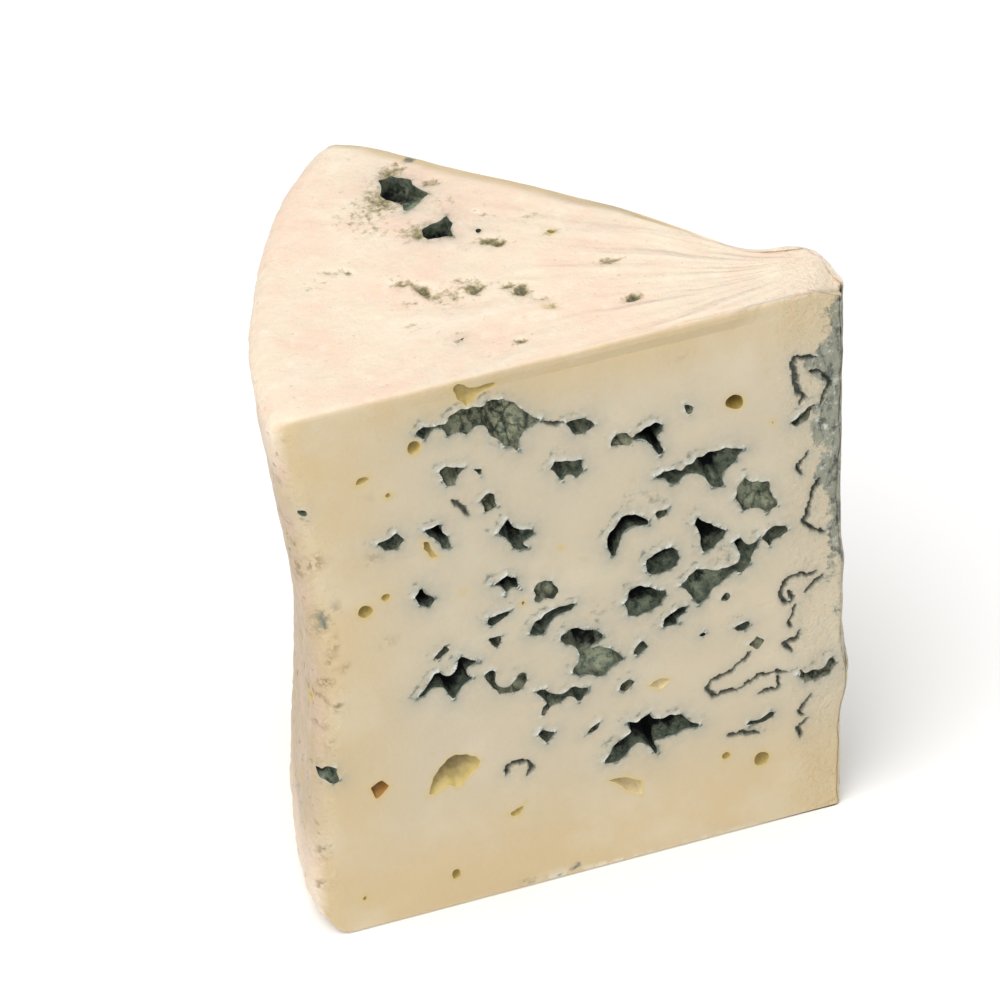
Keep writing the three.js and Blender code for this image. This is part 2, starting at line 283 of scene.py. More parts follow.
# The openings of the flat top, as (distance back from the tip, distance in from the front face).
TOP_MOULD = (
    Opening(((60.8, 54.7), (59.1, 55.8), (57.7, 54), (56.4, 52.8), (56.3, 50.4), (55.1, 48.4), (56.8, 47),
             (58.7, 45.5), (59.8, 45.1), (60.2, 47.9), (61.3, 49.6), (61.9, 51)), 3.2, side=Side.TOP,
            tone=0.38),
    Opening(((59.2, 39.8), (57.5, 40.2), (55.9, 40.1), (54.2, 41.7), (54.5, 39.5), (55.2, 35.7),
             (57.3, 36.3), (59.1, 36.8), (59.4, 38.1)), 3.0, side=Side.TOP, tone=0.3),
    Opening(((51.3, 36.4), (50.7, 35.6), (51.3, 35)), 1.5, side=Side.TOP, tone=0.1),
    Opening(((63.8, 10.2), (62.4, 10.5), (63.2, 9.5)), 1.5, side=Side.TOP, tone=0.1),
)
TOP_BARE = (
    Opening(((41.9, 31.7), (40.5, 31.1), (39.8, 30.2), (41, 30.2)), 1.0, side=Side.TOP, tone=0.4),
    Opening(((48.4, 13.4), (47.4, 13.4), (47, 12.2)), 1.0, side=Side.TOP, tone=0.6),
)


@dataclass(frozen=True)
class Smear:
    """A smudge of mould on a flat side: its middle, half length, half width, lean and strength."""

    x: float
    y: float
    length: float
    width: float
    lean: float
    strength: float

    def spots(self) -> Outline:
        """Gives some points of the smudge, for finding the faces under it.

        Returns:
            Its middle and a point some way out on each side, in millimetres.
        """
        turn = math.radians(self.lean)
        ends = ((0, 0), (0.6, 0), (-0.6, 0), (0, 0.6), (0, -0.6))
        return [
            (self.x + a * self.length * math.cos(turn) - b * self.width * math.sin(turn),
             self.y + a * self.length * math.sin(turn) + b * self.width * math.cos(turn))
            for a, b in ends
        ]

    def at(self, x: np.ndarray, y: np.ndarray) -> np.ndarray:
        """Gives the smudge's strength at some places.

        Args:
            x: The first distance of each place, in millimetres.
            y: The second distance of each place, in millimetres.

        Returns:
            The strength at each place, which fades out from the middle.
        """
        turn = math.radians(self.lean)
        along = (x - self.x) * math.cos(turn) + (y - self.y) * math.sin(turn)
        across = (y - self.y) * math.cos(turn) - (x - self.x) * math.sin(turn)
        return self.strength * np.exp(-((along / self.length) ** 2) - (across / self.width) ** 2)


# Smudges on the top, drawn as its openings are.
TOP_SMEARS = (
    Smear(62.3, 49.6, 3.2, 4.4, 20, 0.75), Smear(66.0, 46.4, 4.4, 3.8, 0, 0.42),
    Smear(60.0, 39.0, 3.0, 2.2, 0, 0.75), Smear(58.6, 56.0, 2.8, 1.6, -30, 0.85),
    Smear(54.6, 44.8, 1.6, 1.1, 0, 0.45), Smear(76.0, 34.8, 1.4, 0.7, 30, 0.6),
    Smear(73.7, 33.8, 1.6, 0.6, 60, 0.6), Smear(64.3, 24.4, 1.0, 4.0, -20, 0.95),
    Smear(66.6, 27.4, 2.2, 1.3, 20, 0.6), Smear(67.4, 22.0, 2.0, 1.0, 0, 0.5),
    Smear(61.0, 21.8, 3.4, 2.8, 0, 0.55), Smear(56.6, 22.0, 1.5, 1.9, 20, 1.0),
    Smear(57.8, 24.4, 1.8, 0.9, 0, 0.6), Smear(51.6, 20.2, 1.5, 1.2, 0, 0.8),
    Smear(50.3, 18.6, 1.3, 1.7, 30, 1.1), Smear(48.2, 15.6, 1.6, 0.9, 30, 0.6),
    Smear(50.3, 32.2, 2.6, 1.2, 25, 0.85), Smear(49.2, 31.2, 1.2, 0.8, 0, 1.0),
    Smear(69.0, 16.2, 2.0, 1.2, 0, 0.4), Smear(47.3, 12.8, 1.3, 0.8, 0, 0.6),
    Smear(80.4, 32.6, 2.6, 1.4, 0, 0.3), Smear(66.2, 42.0, 2.4, 1.6, 0, 0.45),
    Smear(53.8, 51.2, 1.6, 1.0, 0, 0.8), Smear(54.7, 58.2, 1.2, 0.9, 0, 0.8),
    Smear(41.2, 30.8, 2.2, 0.8, 0, 0.5), Smear(43.6, 36.0, 2.4, 0.9, 0, 0.4),
    Smear(35.2, 20.0, 1.8, 0.8, 0, 0.8), Smear(35.0, 9.8, 1.7, 0.8, 0, 0.95),
    Smear(53.6, 45.0, 3.4, 2.0, 0, 0.3), Smear(54.8, 6.2, 1.5, 0.8, 0, 0.8),
    Smear(48.6, 39.0, 1.6, 0.9, 30, 0.5), Smear(64.0, 9.8, 1.3, 0.8, 0, 0.5),
)
# The strong smudges of the top lie in soft dents.
TOP_DENTS = tuple(smear for smear in TOP_SMEARS if smear.strength > DENT_STRENGTH)
# Smudges of grey mould on the front face and its rounded corner, drawn as its openings are.
FRONT_SMEARS = (
    Smear(91.5, 63.0, 1.6, 3.0, 0, 0.6), Smear(95.6, 34.0, 0.5, 3.4, 0, 0.8),
    Smear(93.2, 83.6, 0.9, 0.7, 20, 0.5), Smear(97.6, 84.0, 0.5, 4.0, 8, 0.6),
    Smear(96.2, 78.0, 0.4, 2.2, 0, 0.6), Smear(93.6, 17.4, 0.7, 1.1, 20, 0.9),
    Smear(58.5, 62.0, 6.0, 9.0, 0, 0.10), Smear(44.0, 44.0, 14.0, 14.0, 0, 0.10),
    Smear(22.0, 20.0, 4.0, 0.9, 10, 0.5), Smear(30.0, 80.0, 9.0, 8.0, 0, 0.08),
    Smear(39.8, 72.5, 4.0, 1.5, -15, 0.35), Smear(60.5, 88.6, 3.6, 1.3, 30, 0.35),
    Smear(52.0, 85.0, 2.4, 1.2, 0, 0.3), Smear(36.5, 71.8, 2.0, 1.0, 10, 0.4),
    Smear(25.0, 57.4, 3.0, 2.4, 0, 0.3), Smear(47.0, 52.0, 3.0, 2.0, 20, 0.3),
    Smear(60.0, 1.1, 2.6, 0.4, 0, 1.0), Smear(52.4, 1.3, 1.2, 0.35, 0, 0.9),
    Smear(55.6, 0.8, 0.9, 0.3, 0, 0.8), Smear(97.8, 44.0, 0.5, 1.0, 0, 0.9),
)
# Pale chips along the front face's foot, drawn as its openings are; their pale line is partly a painted
# highlight.
FOOT_CHIPS = (
    Smear(55.0, 0.9, 3.4, 0.55, 0, 0.95), Smear(46.0, 0.6, 7.0, 0.4, 0, 0.7),
    Smear(30.0, 0.6, 9.0, 0.3, 0, 0.5),
)
# Rusty marks of the rind near the front corner, drawn as the front's openings are.
RUST_MARKS = (
    Smear(92.4, 74.2, 1.6, 0.8, -25, 1.0), Smear(93.9, 72.6, 0.7, 1.3, 0, 0.8),
    Smear(91.6, 75.6, 0.6, 0.9, 0, 0.7), Smear(94.8, 70.2, 0.9, 0.7, 0, 0.7),
    Smear(93.4, 60.2, 1.4, 0.6, -15, 1.0), Smear(90.2, 57.0, 0.5, 3.0, 10, 0.75),
    Smear(91.2, 50.6, 1.6, 0.55, 35, 1.0), Smear(92.6, 48.2, 1.0, 0.7, 0, 0.8),
    Smear(90.0, 46.2, 1.2, 0.6, 40, 0.9), Smear(92.2, 42.4, 0.8, 0.6, 0, 1.0),
    Smear(93.6, 17.0, 0.6, 1.0, 0, 0.9), Smear(95.4, 54.0, 0.6, 1.2, 0, 0.7),
    Smear(96.0, 44.0, 0.7, 0.9, 0, 0.8), Smear(94.2, 10.4, 0.8, 0.7, 0, 0.7),
    Smear(88.6, 53.6, 0.8, 0.6, 0, 0.5), Smear(83.0, 84.6, 0.9, 0.7, 0, 0.3),
    Smear(81.2, 57.0, 1.2, 0.6, 20, 0.5), Smear(82.4, 73.4, 1.1, 0.6, 30, 0.5),
    Smear(31.6, 97.6, 2.0, 0.6, 10, 0.35), Smear(10.4, 31.0, 0.8, 3.0, 0, 0.2),
    Smear(89.4, 66.0, 0.6, 1.0, 0, 0.5), Smear(95.4, 82.0, 0.6, 0.8, 0, 0.8),
    Smear(96.0, 90.0, 0.8, 0.6, 0, 0.6), Smear(91.6, 38.4, 0.7, 0.9, 20, 0.6),
)
# The tip's strip of mould: how far it reaches from the tip, and how strong it is, at some heights.
STRIP_HEIGHTS = (0.0, 24.0, 40.0, 58.0, 64.0, 72.0, 80.0, 88.0, 96.0, 103.0)
STRIP_REACHES = (0.0, 7.0, 7.2, 7.4, 9.0, 8.4, 9.0, 8.8, 7.4, 6.4)
STRIP_STRENGTHS = (0.0, 0.15, 0.4, 0.8, 1.0, 1.0, 1.0, 1.0, 0.95, 0.8)


@dataclass(frozen=True)
class Placement:
    """A plane that openings are drawn on: a point from two distances and a depth, in millimetres."""

    origin: Vector
    along: Vector
    up: Vector
    inward: Vector

    def at(self, point: Point2, depth: float = 0.0) -> Vector:
        """Gives the place of a drawn point, in metres.

        Args:
            point: The two distances along the plane, in millimetres.
            depth: The distance behind the plane, in millimetres.

        Returns:
            The place in the object's frame.
        """
        return self.origin + (self.along * point[0] + self.up * point[1] + self.inward * depth) * MM


def deselect_everything() -> None:
    """Deselects every object, because an operator acts on all that is selected."""
    bpy.ops.object.select_all(action="DESELECT")


def make_active(piece: bpy.types.Object) -> None:
    """Selects this object alone and makes it the active one.

    Args:
        piece: The object that the next operators act on.
    """
    deselect_everything()
    piece.select_set(True)
    bpy.context.view_layer.objects.active = piece


def apply_modifier(piece: bpy.types.Object, kind: str, **settings: object) -> None:
    """Adds a modifier to an object and applies it.

    Args:
        piece: The object to change.
        kind: Blender's name for the kind of modifier.
        **settings: The modifier's properties.
    """
    make_active(piece)
    modifier = piece.modifiers.new(kind.lower(), kind)
    for name, value in settings.items():
        setattr(modifier, name, value)
    bpy.ops.object.modifier_apply(modifier=modifier.name)


def places(piece: bpy.types.Object) -> np.ndarray:
    """Reads where an object's vertices are.

    Args:
        piece: The object to read.

    Returns:
        The places in metres, one to a row.
    """
    found = np.empty(len(piece.data.vertices) * 3, np.float32)
    piece.data.vertices.foreach_get("co", found)
    return found.reshape(-1, 3).astype(float)


def put_places(piece: bpy.types.Object, rows: np.ndarray) -> None:
    """Moves an object's vertices to the places in an array with one row each."""
    piece.data.vertices.foreach_set("co", rows.astype(np.float32).ravel())
    piece.data.update()


def normals_of(piece: bpy.types.Object) -> np.ndarray:
    """Reads which way an object's surface faces at each vertex.

    Args:
        piece: The object to read.

    Returns:
        The outward directions, one to a row.
    """
    found = np.empty(len(piece.data.vertices) * 3, np.float32)
    piece.data.vertex_normals.foreach_get("vector", found)
    return found.reshape(-1, 3).astype(float)


def smoothstep(low: float, high: float, value: np.ndarray) -> np.ndarray:
    """Rises smoothly from 0 to 1 as the value goes from low to high."""
    share = np.clip((value - low) / (high - low), 0.0, 1.0)
    return share * share * (3.0 - 2.0 * share)


def rounded(first: np.ndarray, second: np.ndarray, radius: float) -> tuple[np.ndarray, np.ndarray]:
    """Rounds the corner between two surfaces.

    Args:
        first: Each place's depth under one surface.
        second: Each place's depth under the other surface.
        radius: The corner's radius.

    Returns:
        The two new depths.
    """
    a = np.clip(1.0 - first / radius, 0.0, 1.0)
    b = np.clip(1.0 - second / radius, 0.0, 1.0)
    corner = (a > 0.0) & (b > 0.0)
    return (
        np.where(corner, radius * (1.0 - a * np.sqrt(1.0 - b**2 / 2.0)), first),
        np.where(corner, radius * (1.0 - b * np.sqrt(1.0 - a**2 / 2.0)), second),
    )


def rough(rows: np.ndarray, size: float, seed: float = 0.0) -> np.ndarray:
    """Gives smooth noise between about -1 and 1 at each row's place.

    Args:
        rows: Places in metres, one to a row.
        size: The width of one bump in metres.
        seed: Moves the pattern, so that two calls differ.

    Returns:
        One value for each row.
    """
    shift = Vector((seed, seed * 0.7, -seed * 0.4))
    return np.array([noise.noise(Vector(row) / size + shift) for row in rows])


def sampled_loop(opening: Opening, step: float, shake: float = 0.0, grow: float = 0.0) -> Outline:
    """Turns an opening's corners into a closed run of points with bowed, slightly uneven sides.

    Args:
        opening: The opening to draw.
        step: The distance between points in millimetres.
        shake: How far a point may leave the drawn line, in millimetres.
        grow: How far the whole line is moved outwards, in millimetres.

    Returns:
        The points in order round the outline, in millimetres.
    """
    corners = opening.outline
    pairs = list(zip(corners, corners[1:] + corners[:1]))
    turn = math.copysign(1.0, sum(a[0] * b[1] - b[0] * a[1] for a, b in pairs))
    loop: Outline = []
    for (ax, ay), (bx, by) in pairs:
        length = math.hypot(bx - ax, by - ay)
        count = max(1, round(length / step))
        for i in range(count):
            share = i / count
            bow = opening.bow * 4.0 * share * (1.0 - share) * turn
            x = ax + (bx - ax) * share - (by - ay) * bow + (by - ay) / length * grow * turn
            y = ay + (by - ay) * share + (bx - ax) * bow - (bx - ax) / length * grow * turn
            away = noise.noise_vector(Vector((x, y, opening.depth)) * 1.4) * shake
            loop.append((x + away.x, y + away.y))
    return loop


def crack_trace(line: tuple[Point2, ...], half: float, step: float = 0.1) -> list[Vector]:
    """Follows a hair crack from end to end, with the small bends and swellings of a real one.

    Args:
        line: The points that the crack runs through, in millimetres.
        half: Half the crack's width at its middle, in millimetres.
        step: The distance between two results, in millimetres.

    Returns:
        The two distances and the half width at each step along it, in millimetres.
    """
    trace: list[Vector] = []
    total = sum(math.dist(a, b) for a, b in zip(line, line[1:]))
    done = 0.0
    for (ax, ay), (bx, by) in zip(line, line[1:]):
        length = math.dist((ax, ay), (bx, by))
        for i in range(max(1, round(length / step))):
            share = i * step / length
            x, y = ax + (bx - ax) * share, ay + (by - ay) * share
            wide = noise.noise_vector(Vector((x, y, 0.0)) * 0.9) * 0.3
            fine = noise.noise_vector(Vector((x, y, 7.0)) * 2.6) * 0.22
            swell = 1.0 + 1.1 * noise.noise(Vector((x, y, 3.0)) * 0.8)
            ends = min(1.0, 0.35 + min(done + i * step, total - done - i * step) / 1.5)
            trace.append(Vector((x + wide.x + fine.x, y + wide.y + fine.y, half * swell * ends)))
        done += length
    return trace


def tree_of(points: list[Vector]) -> KDTree:
    """Makes a search tree of points.

    Args:
        points: The points, which keep their order as numbers.

    Returns:
        The tree, ready to search.
    """
    tree = KDTree(len(points))
    for number, point in enumerate(points):
        tree.insert(point, number)
    tree.balance()
    return tree


@dataclass(frozen=True)
class DrawnOpening:
    """An opening with the plane that it is drawn on."""

    opening: Opening
    placement: Placement


@dataclass
class OpeningCutter:
    """The solid that a group of openings takes out of the wedge.

    Each ring is a share of the opening's depth with the shares of its height and width that are
    left there. The height shrinks towards the top, so that the floor slopes up and in like a scoop.
    The voxel and the lump are in metres, and the step, the shake, the growth and the length that
    stands outside the wedge are in millimetres.
    """

    name: str
    lining: Lining
    sides: tuple[Side, ...]
    voxel: float
    lump: float
    step: float = 0.4
    shake: float = 0.2
    grow: float = 0.0
    outside: float = 1.2
    kept: float = 0.4
    rings: tuple[tuple[float, float, float], ...] = (
        (0.1, 1.0, 1.0), (0.45, 0.82, 0.95), (0.8, 0.55, 0.85), (1.0, 0.3, 0.65),
    )

    def takes(self, item: DrawnOpening) -> bool:
        """Says whether an opening belongs to this cutter's group."""
        return item.opening.lining is self.lining and item.opening.side in self.sides

    def build(self, drawn: list[DrawnOpening]) -> bpy.types.Object:
        """Models the cutter: each outline is a filled circle, drawn out and pushed in, then all are fused.

        Args:
            drawn: The openings to cut.

        Returns:
            The cutter, one closed mesh.
        """
        deselect_everything()
        bpy.ops.mesh.primitive_circle_add(vertices=3, radius=MM, fill_type="NGON")
        cutter = bpy.context.active_object
        cutter.name = f"{self.name}_cutter"
        bpy.ops.object.mode_set(mode="EDIT")
        bpy.ops.mesh.delete(type="VERT")
        for item in drawn:
            self.push_in(cutter, item)
        bpy.ops.mesh.select_all(action="SELECT")
        bpy.ops.mesh.normals_make_consistent(inside=False)
        bpy.ops.object.mode_set(mode="OBJECT")
        self.fuse(cutter)
        return cutter

    def push_in(self, cutter: bpy.types.Object, item: DrawnOpening) -> None:
        """Draws one outline just outside the wedge and pushes it in, ring by ring.

        Args:
            cutter: The object in edit mode.
            item: The opening.
        """
        plane = item.placement
        loop = sampled_loop(item.opening, self.step, self.shake, self.grow)
        bpy.ops.mesh.select_all(action="DESELECT")
        bpy.ops.mesh.primitive_circle_add(vertices=len(loop), radius=MM, fill_type="NGON")
        mesh = bmesh.from_edit_mesh(cutter.data)
        for vertex, point in zip([vertex for vertex in mesh.verts if vertex.select], loop):
            vertex.co = plane.at(point, -self.outside)
        bmesh.update_edit_mesh(cutter.data)
        crown = (sum(x for x, _ in loop) / len(loop), max(z for _, z in loop))
        depth, tall, wide = -self.outside, 1.0, 1.0
        for share, next_tall, next_wide in self.rings:
            deeper = share * item.opening.depth - depth
            bpy.ops.mesh.extrude_region_move(
                TRANSFORM_OT_translate={"value": plane.inward * deeper * MM}
            )
            depth += deeper
            mesh = bmesh.from_edit_mesh(cutter.data)
            for vertex in (vertex for vertex in mesh.verts if vertex.select):
                away = vertex.co - plane.at(crown, depth)
                vertex.co -= plane.up * away.dot(plane.up) * (1.0 - next_tall / tall)
                vertex.co -= plane.along * away.dot(plane.along) * (1.0 - next_wide / wide)
            bmesh.update_edit_mesh(cutter.data)
            tall, wide = next_tall, next_wide

    def fuse(self, cutter: bpy.types.Object) -> None:
        """Fuses the overlapping shafts and gives their walls the round lumps of curd grains.

        Args:
            cutter: The object to change.
        """
        apply_modifier(cutter, "REMESH", mode="VOXEL", voxel_size=self.voxel)
        grains = bpy.data.textures.new(f"{self.name}_grains", "VORONOI")
        grains.noise_scale = GRAIN_SIZE
        crumbs = bpy.data.textures.new(f"{self.name}_crumbs", "CLOUDS")
        crumbs.noise_scale = CRUMB_SIZE
        apply_modifier(cutter, "DISPLACE", texture=grains, strength=self.lump, mid_level=0.4)
        apply_modifier(cutter, "DISPLACE", texture=crumbs, strength=self.lump * 0.7, mid_level=0.5)
        apply_modifier(cutter, "REMESH", mode="VOXEL", voxel_size=self.voxel)
        apply_modifier(cutter, "SMOOTH", factor=0.5, iterations=1)
        apply_modifier(cutter, "DECIMATE", ratio=self.kept)


class Cracks:
    """The hair cracks of the front face, ready for asking which places they run through."""

    def __init__(self, tip: Vector, lines: tuple[tuple[Point2, ...], ...], half: float) -> None:
        """Follows the cracks.

        Args:
            tip: The point on the base that their distances start from.
            lines: The points that each crack runs through, in millimetres.
            half: Half the width of a crack, in millimetres.
        """
        self.tip = tip
        self.trace = [point for line in lines for point in crack_trace(line, half)]
        self.tree = tree_of([Vector((point.x, point.y, 0.0)) for point in self.trace])

    def nearest(self, rows: np.ndarray) -> tuple[np.ndarray, np.ndarray]:
        """Finds the crack nearest to each row's place near the front face.

        Args:
            rows: The places, one to a row.

        Returns:
            The distance to the crack, endless for a place behind the face, and the crack's half
            width there, in millimetres.
        """
        away, half = np.full(len(rows), np.inf), np.zeros(len(rows))
        for number, (x, y, z) in enumerate(rows):
            if y - self.tip.y < FRONT_SKIN:
                place = ((self.tip.x - x) / MM, (z - self.tip.z) / MM, 0.0)
                _, at, away[number] = self.tree.find(place)
                half[number] = self.trace[at].z
        return away, half

    def share(self, rows: np.ndarray) -> np.ndarray:
        """Gives 1 in a crack and 0 outside it at each row's place."""
        away, half = self.nearest(rows)
        return np.clip((half + 0.16 - away) / 0.22, 0.0, 1.0)

    def haze(self, rows: np.ndarray) -> np.ndarray:
        """Gives the strength of the mould's haze beside the cracks at each row's place."""
        return 0.75 * np.exp(-self.nearest(rows)[0] / 0.8)

    def places(self) -> list[Vector]:
        """Gives the places that the cracks run through, in the object's frame."""
        return [self.tip + Vector((-point.x, 0.0, point.y)) * MM for point in self.trace]


@dataclass
class Wedge:
    """The wedge of cheese: swept from its front cut face, then shaped, opened and dressed."""

    low: Vector
    high: Vector
    sector: float = math.radians(46.0)
    tip_setback: float = 4.0 * MM
    base_setback: float = 6.5 * MM
    wheel_offset: tuple[float, float] = (-2.0 * MM, -4.0 * MM)
    lip_radius: float = 95.5 * MM
    waist_radius: float = 91.0 * MM
    waist_height: float = 54.0 * MM
    foot_radius: float = 94.0 * MM
    foot_height: float = 11.0 * MM
    top_round: float = 3.5 * MM
    base_round: float = 7.0 * MM
    front_corner_round: float = 5.0 * MM
    back_corner_round: float = 2.6 * MM
    back_bow: float = 2.2 * MM
    back_lip: float = 1.8 * MM
    cell: float = 1.5 * MM
    cut_edge: float = 0.7 * MM
    crack_depth: float = 0.9 * MM
    dent_depth: float = 1.1 * MM
    tip_bump: float = 1.5 * MM
    tip_drop: float = 1.8 * MM
    tip_lump: float = 2.9 * MM
    wave_height: float = 0.45 * MM
    ridge_height: float = 0.33 * MM
    crag_height: float = 0.3 * MM
    spin_steps: int = 48
    piece: bpy.types.Object = field(init=False)

    @property
    def tip(self) -> Vector:
        """The point on the base plane where the two cut faces would meet."""
        reach = self.tip_setback * math.cos(self.sector / 2)
        return Vector((self.high.x + reach, self.low.y, self.low.z))

    @property
    def fan_focus(self) -> Point2:
        """The point that the ridges on the top run towards."""
        return self.tip.x - 4 * MM, self.tip.y + 6 * MM

    @property
    def height(self) -> float:
        """The wedge's height."""
        return self.high.z - self.low.z

    def placement(self, side: Side) -> Placement:
        """Gives the plane that the openings of one flat side are drawn on.

        Args:
            side: The front, the back or the top.

        Returns:
            The plane, with its depth pointing into the wedge.
        """
        if side is Side.FRONT:
            return Placement(self.tip, Vector((-1, 0, 0)), UP, Vector((0, 1, 0)))
        if side is Side.BACK:
            along = Vector((-math.cos(self.sector), math.sin(self.sector), 0))
            return Placement(self.tip, along, UP, Vector((-along.y, along.x, 0)))
        return Placement(self.tip + UP * self.height, Vector((-1, 0, 0)), Vector((0, 1, 0)), -UP)

    def rind_placement(self, angle: float, height: float) -> Placement:
        """Gives a plane that touches the rind.

        Args:
            angle: The angle from the front face, in radians.
            height: The height in metres.

        Returns:
            The plane, with its depth pointing at the middle of the wheel.
        """
        outward = Vector((-math.cos(angle), math.sin(angle), 0))
        reach = self.rind_reach(np.array([angle]), np.array([height]))[0]
        return Placement(self.tip + outward * reach + UP * height, outward.cross(UP), UP, -outward)

    def rind_radius(self, height: np.ndarray) -> np.ndarray:
        """Gives the wheel's radius, which has a foot, a waist and a lip.

        Args:
            height: Heights in metres.

        Returns:
            The radius at each height.
        """
        knots = [0.0, self.foot_height, self.waist_height, self.height - self.top_round, self.height]
        radii = [self.foot_radius, self.foot_radius, self.waist_radius, self.lip_radius, self.lip_radius]
        straight = np.interp(height, knots, radii)
        lower = self.waist_radius + (self.foot_radius - self.waist_radius) * smoothstep(
            self.waist_height, self.foot_height, height
        )
        upper = self.waist_radius + (self.lip_radius - self.waist_radius) * smoothstep(
            self.waist_height, self.height, height
        )
        return (straight + np.where(height < self.waist_height, lower, upper)) / 2

    def rind_reach(self, angle: np.ndarray, height: np.ndarray) -> np.ndarray:
        """Gives the distance from the tip to the rind.

        Args:
            angle: Angles from the front face, in radians.
            height: Heights in metres.

        Returns:
            The distance at each pair of angle and height.
        """
        along = -np.cos(angle) * self.wheel_offset[0] + np.sin(angle) * self.wheel_offset[1]
        squared = self.wheel_offset[0] ** 2 + self.wheel_offset[1] ** 2
        return along + np.sqrt(along**2 - squared + self.rind_radius(height) ** 2)

    def sweep(self) -> None:
        """Sweeps the front cut face round the tip, which leaves a closed block."""
        width = self.lip_radius - self.tip_setback
        deselect_everything()
        bpy.ops.mesh.primitive_grid_add(
            x_subdivisions=round(width / self.cell),
            y_subdivisions=round(self.height / self.cell),
            size=1.0,
            location=(self.tip.x - self.tip_setback - width / 2, self.tip.y, self.height / 2),
            rotation=(math.pi / 2, 0.0, 0.0),
        )
        self.piece = bpy.context.active_object
        self.piece.name = "blue_cheese_wedge"
        self.piece.scale = (width, self.height, 1.0)
        bpy.ops.object.transform_apply(location=True, rotation=True, scale=True)
        bpy.ops.object.mode_set(mode="EDIT")
        bpy.ops.mesh.select_all(action="SELECT")
        bpy.ops.mesh.spin(
            steps=self.spin_steps, angle=self.sector, center=self.tip, axis=(0.0, 0.0, 1.0)
        )
        bpy.ops.mesh.select_all(action="SELECT")
        bpy.ops.mesh.remove_doubles(threshold=0.01 * MM)
        bpy.ops.mesh.normals_make_consistent(inside=False)
        bpy.ops.object.mode_set(mode="OBJECT")

    def polar(self, rows: np.ndarray) -> tuple[np.ndarray, np.ndarray, np.ndarray]:
        """Splits places into distance from the tip, angle from the front face, and height."""
        x, y = rows[:, 0] - self.tip.x, rows[:, 1] - self.tip.y
        return np.hypot(x, y), np.arctan2(y, -x), rows[:, 2] - self.low.z

    def from_polar(self, reach: np.ndarray, angle: np.ndarray, height: np.ndarray) -> np.ndarray:
        """Turns polar values back into places.

        Args:
            reach: Distances from the tip.
            angle: Angles from the front face, in radians.
            height: Heights above the base.

        Returns:
            The places, one to a row.
        """
        x = self.tip.x - reach * np.cos(angle)
        y = self.tip.y + reach * np.sin(angle)
        return np.stack([x, y, height + self.low.z], axis=1)

    def shape_rind(self) -> None:
        """Gives the block its rind: the waist, the lip and the rounded rims and corners."""
        reach, angle, height = self.polar(places(self.piece))
        outer = self.rind_reach(angle, height)
        outer = outer + self.back_lip * smoothstep(0.4, 0.95, angle / self.sector) * smoothstep(
            60 * MM, 95 * MM, height
        )
        pull = smoothstep(30 * MM, self.lip_radius, reach)
        reach = reach * (1.0 + (outer / self.lip_radius - 1.0) * pull)
        in_from_rind, down = rounded(outer - reach, self.height - height, self.top_round)
        in_from_rind, above = rounded(in_from_rind, self.height - down, self.base_round)
        reach, height = outer - in_from_rind, above
        in_from_rind, front = rounded(outer - reach, reach * np.sin(angle), self.front_corner_round)
        reach = outer - in_from_rind
        angle = np.arcsin(np.clip(front / reach, 0.0, 1.0))
        in_from_rind, back = rounded(
            outer - reach, reach * np.sin(self.sector - angle), self.back_corner_round
        )
        reach = outer - in_from_rind
        angle = self.sector - np.arcsin(np.clip(back / reach, 0.0, 1.0))
        bow = self.back_bow * smoothstep(18 * MM, 48 * MM, reach) * smoothstep(99 * MM, 84 * MM, reach)
        bow = bow * smoothstep(0.45, 1.0, angle / self.sector) * smoothstep(0.0, 70 * MM, height)
        away = np.array([math.sin(self.sector), math.cos(self.sector), 0.2])
        put_places(self.piece, self.from_polar(reach, angle, height) + bow[:, None] * away)

    def wear_tip(self) -> None:
        """Breaks the tip back, more at its foot, and leaves a lump at its top and a bump lower down."""
        rows = places(self.piece)
        reach, angle, height = self.polar(rows)
        setback = self.base_setback + (self.tip_setback - self.base_setback) * height / self.height
        near = 1.0 - smoothstep(self.tip_setback, 24 * MM, reach)
        reach = reach + (setback - self.tip_setback) * near
        at_tip = 1.0 - smoothstep(5 * MM, 13 * MM, reach)
        reach = reach - self.tip_bump * at_tip * np.exp(-(((height - 26 * MM) / (4 * MM)) ** 2))
        high = smoothstep(85 * MM, self.height, height)
        drop = smoothstep(9 * MM, 4 * MM, reach) * smoothstep(97 * MM, self.height, height) * self.tip_drop
        rows = self.from_polar(reach, angle, height - drop)
        lump = self.tip_lump * high * np.exp(-(((reach - 11.5 * MM) / (5.5 * MM)) ** 2))
        lump = lump * smoothstep(0.3, self.sector, angle)
        away = np.array([math.sin(self.sector), math.cos(self.sector), 0.35])
        put_places(self.piece, rows + lump[:, None] * away)

    def soften_cut_edges(self) -> None:
        """Bevels the edges that the two cuts left."""
        make_active(self.piece)
        bpy.ops.object.mode_set(mode="EDIT")
        bpy.ops.mesh.select_mode(type="EDGE")
        bpy.ops.mesh.select_all(action="DESELECT")
        bpy.ops.mesh.edges_select_sharp(sharpness=math.radians(55.0))
        bpy.ops.mesh.bevel(offset=self.cut_edge, segments=3, profile=0.6)
        bpy.ops.mesh.select_mode(type="FACE")
        bpy.ops.object.mode_set(mode="OBJECT")

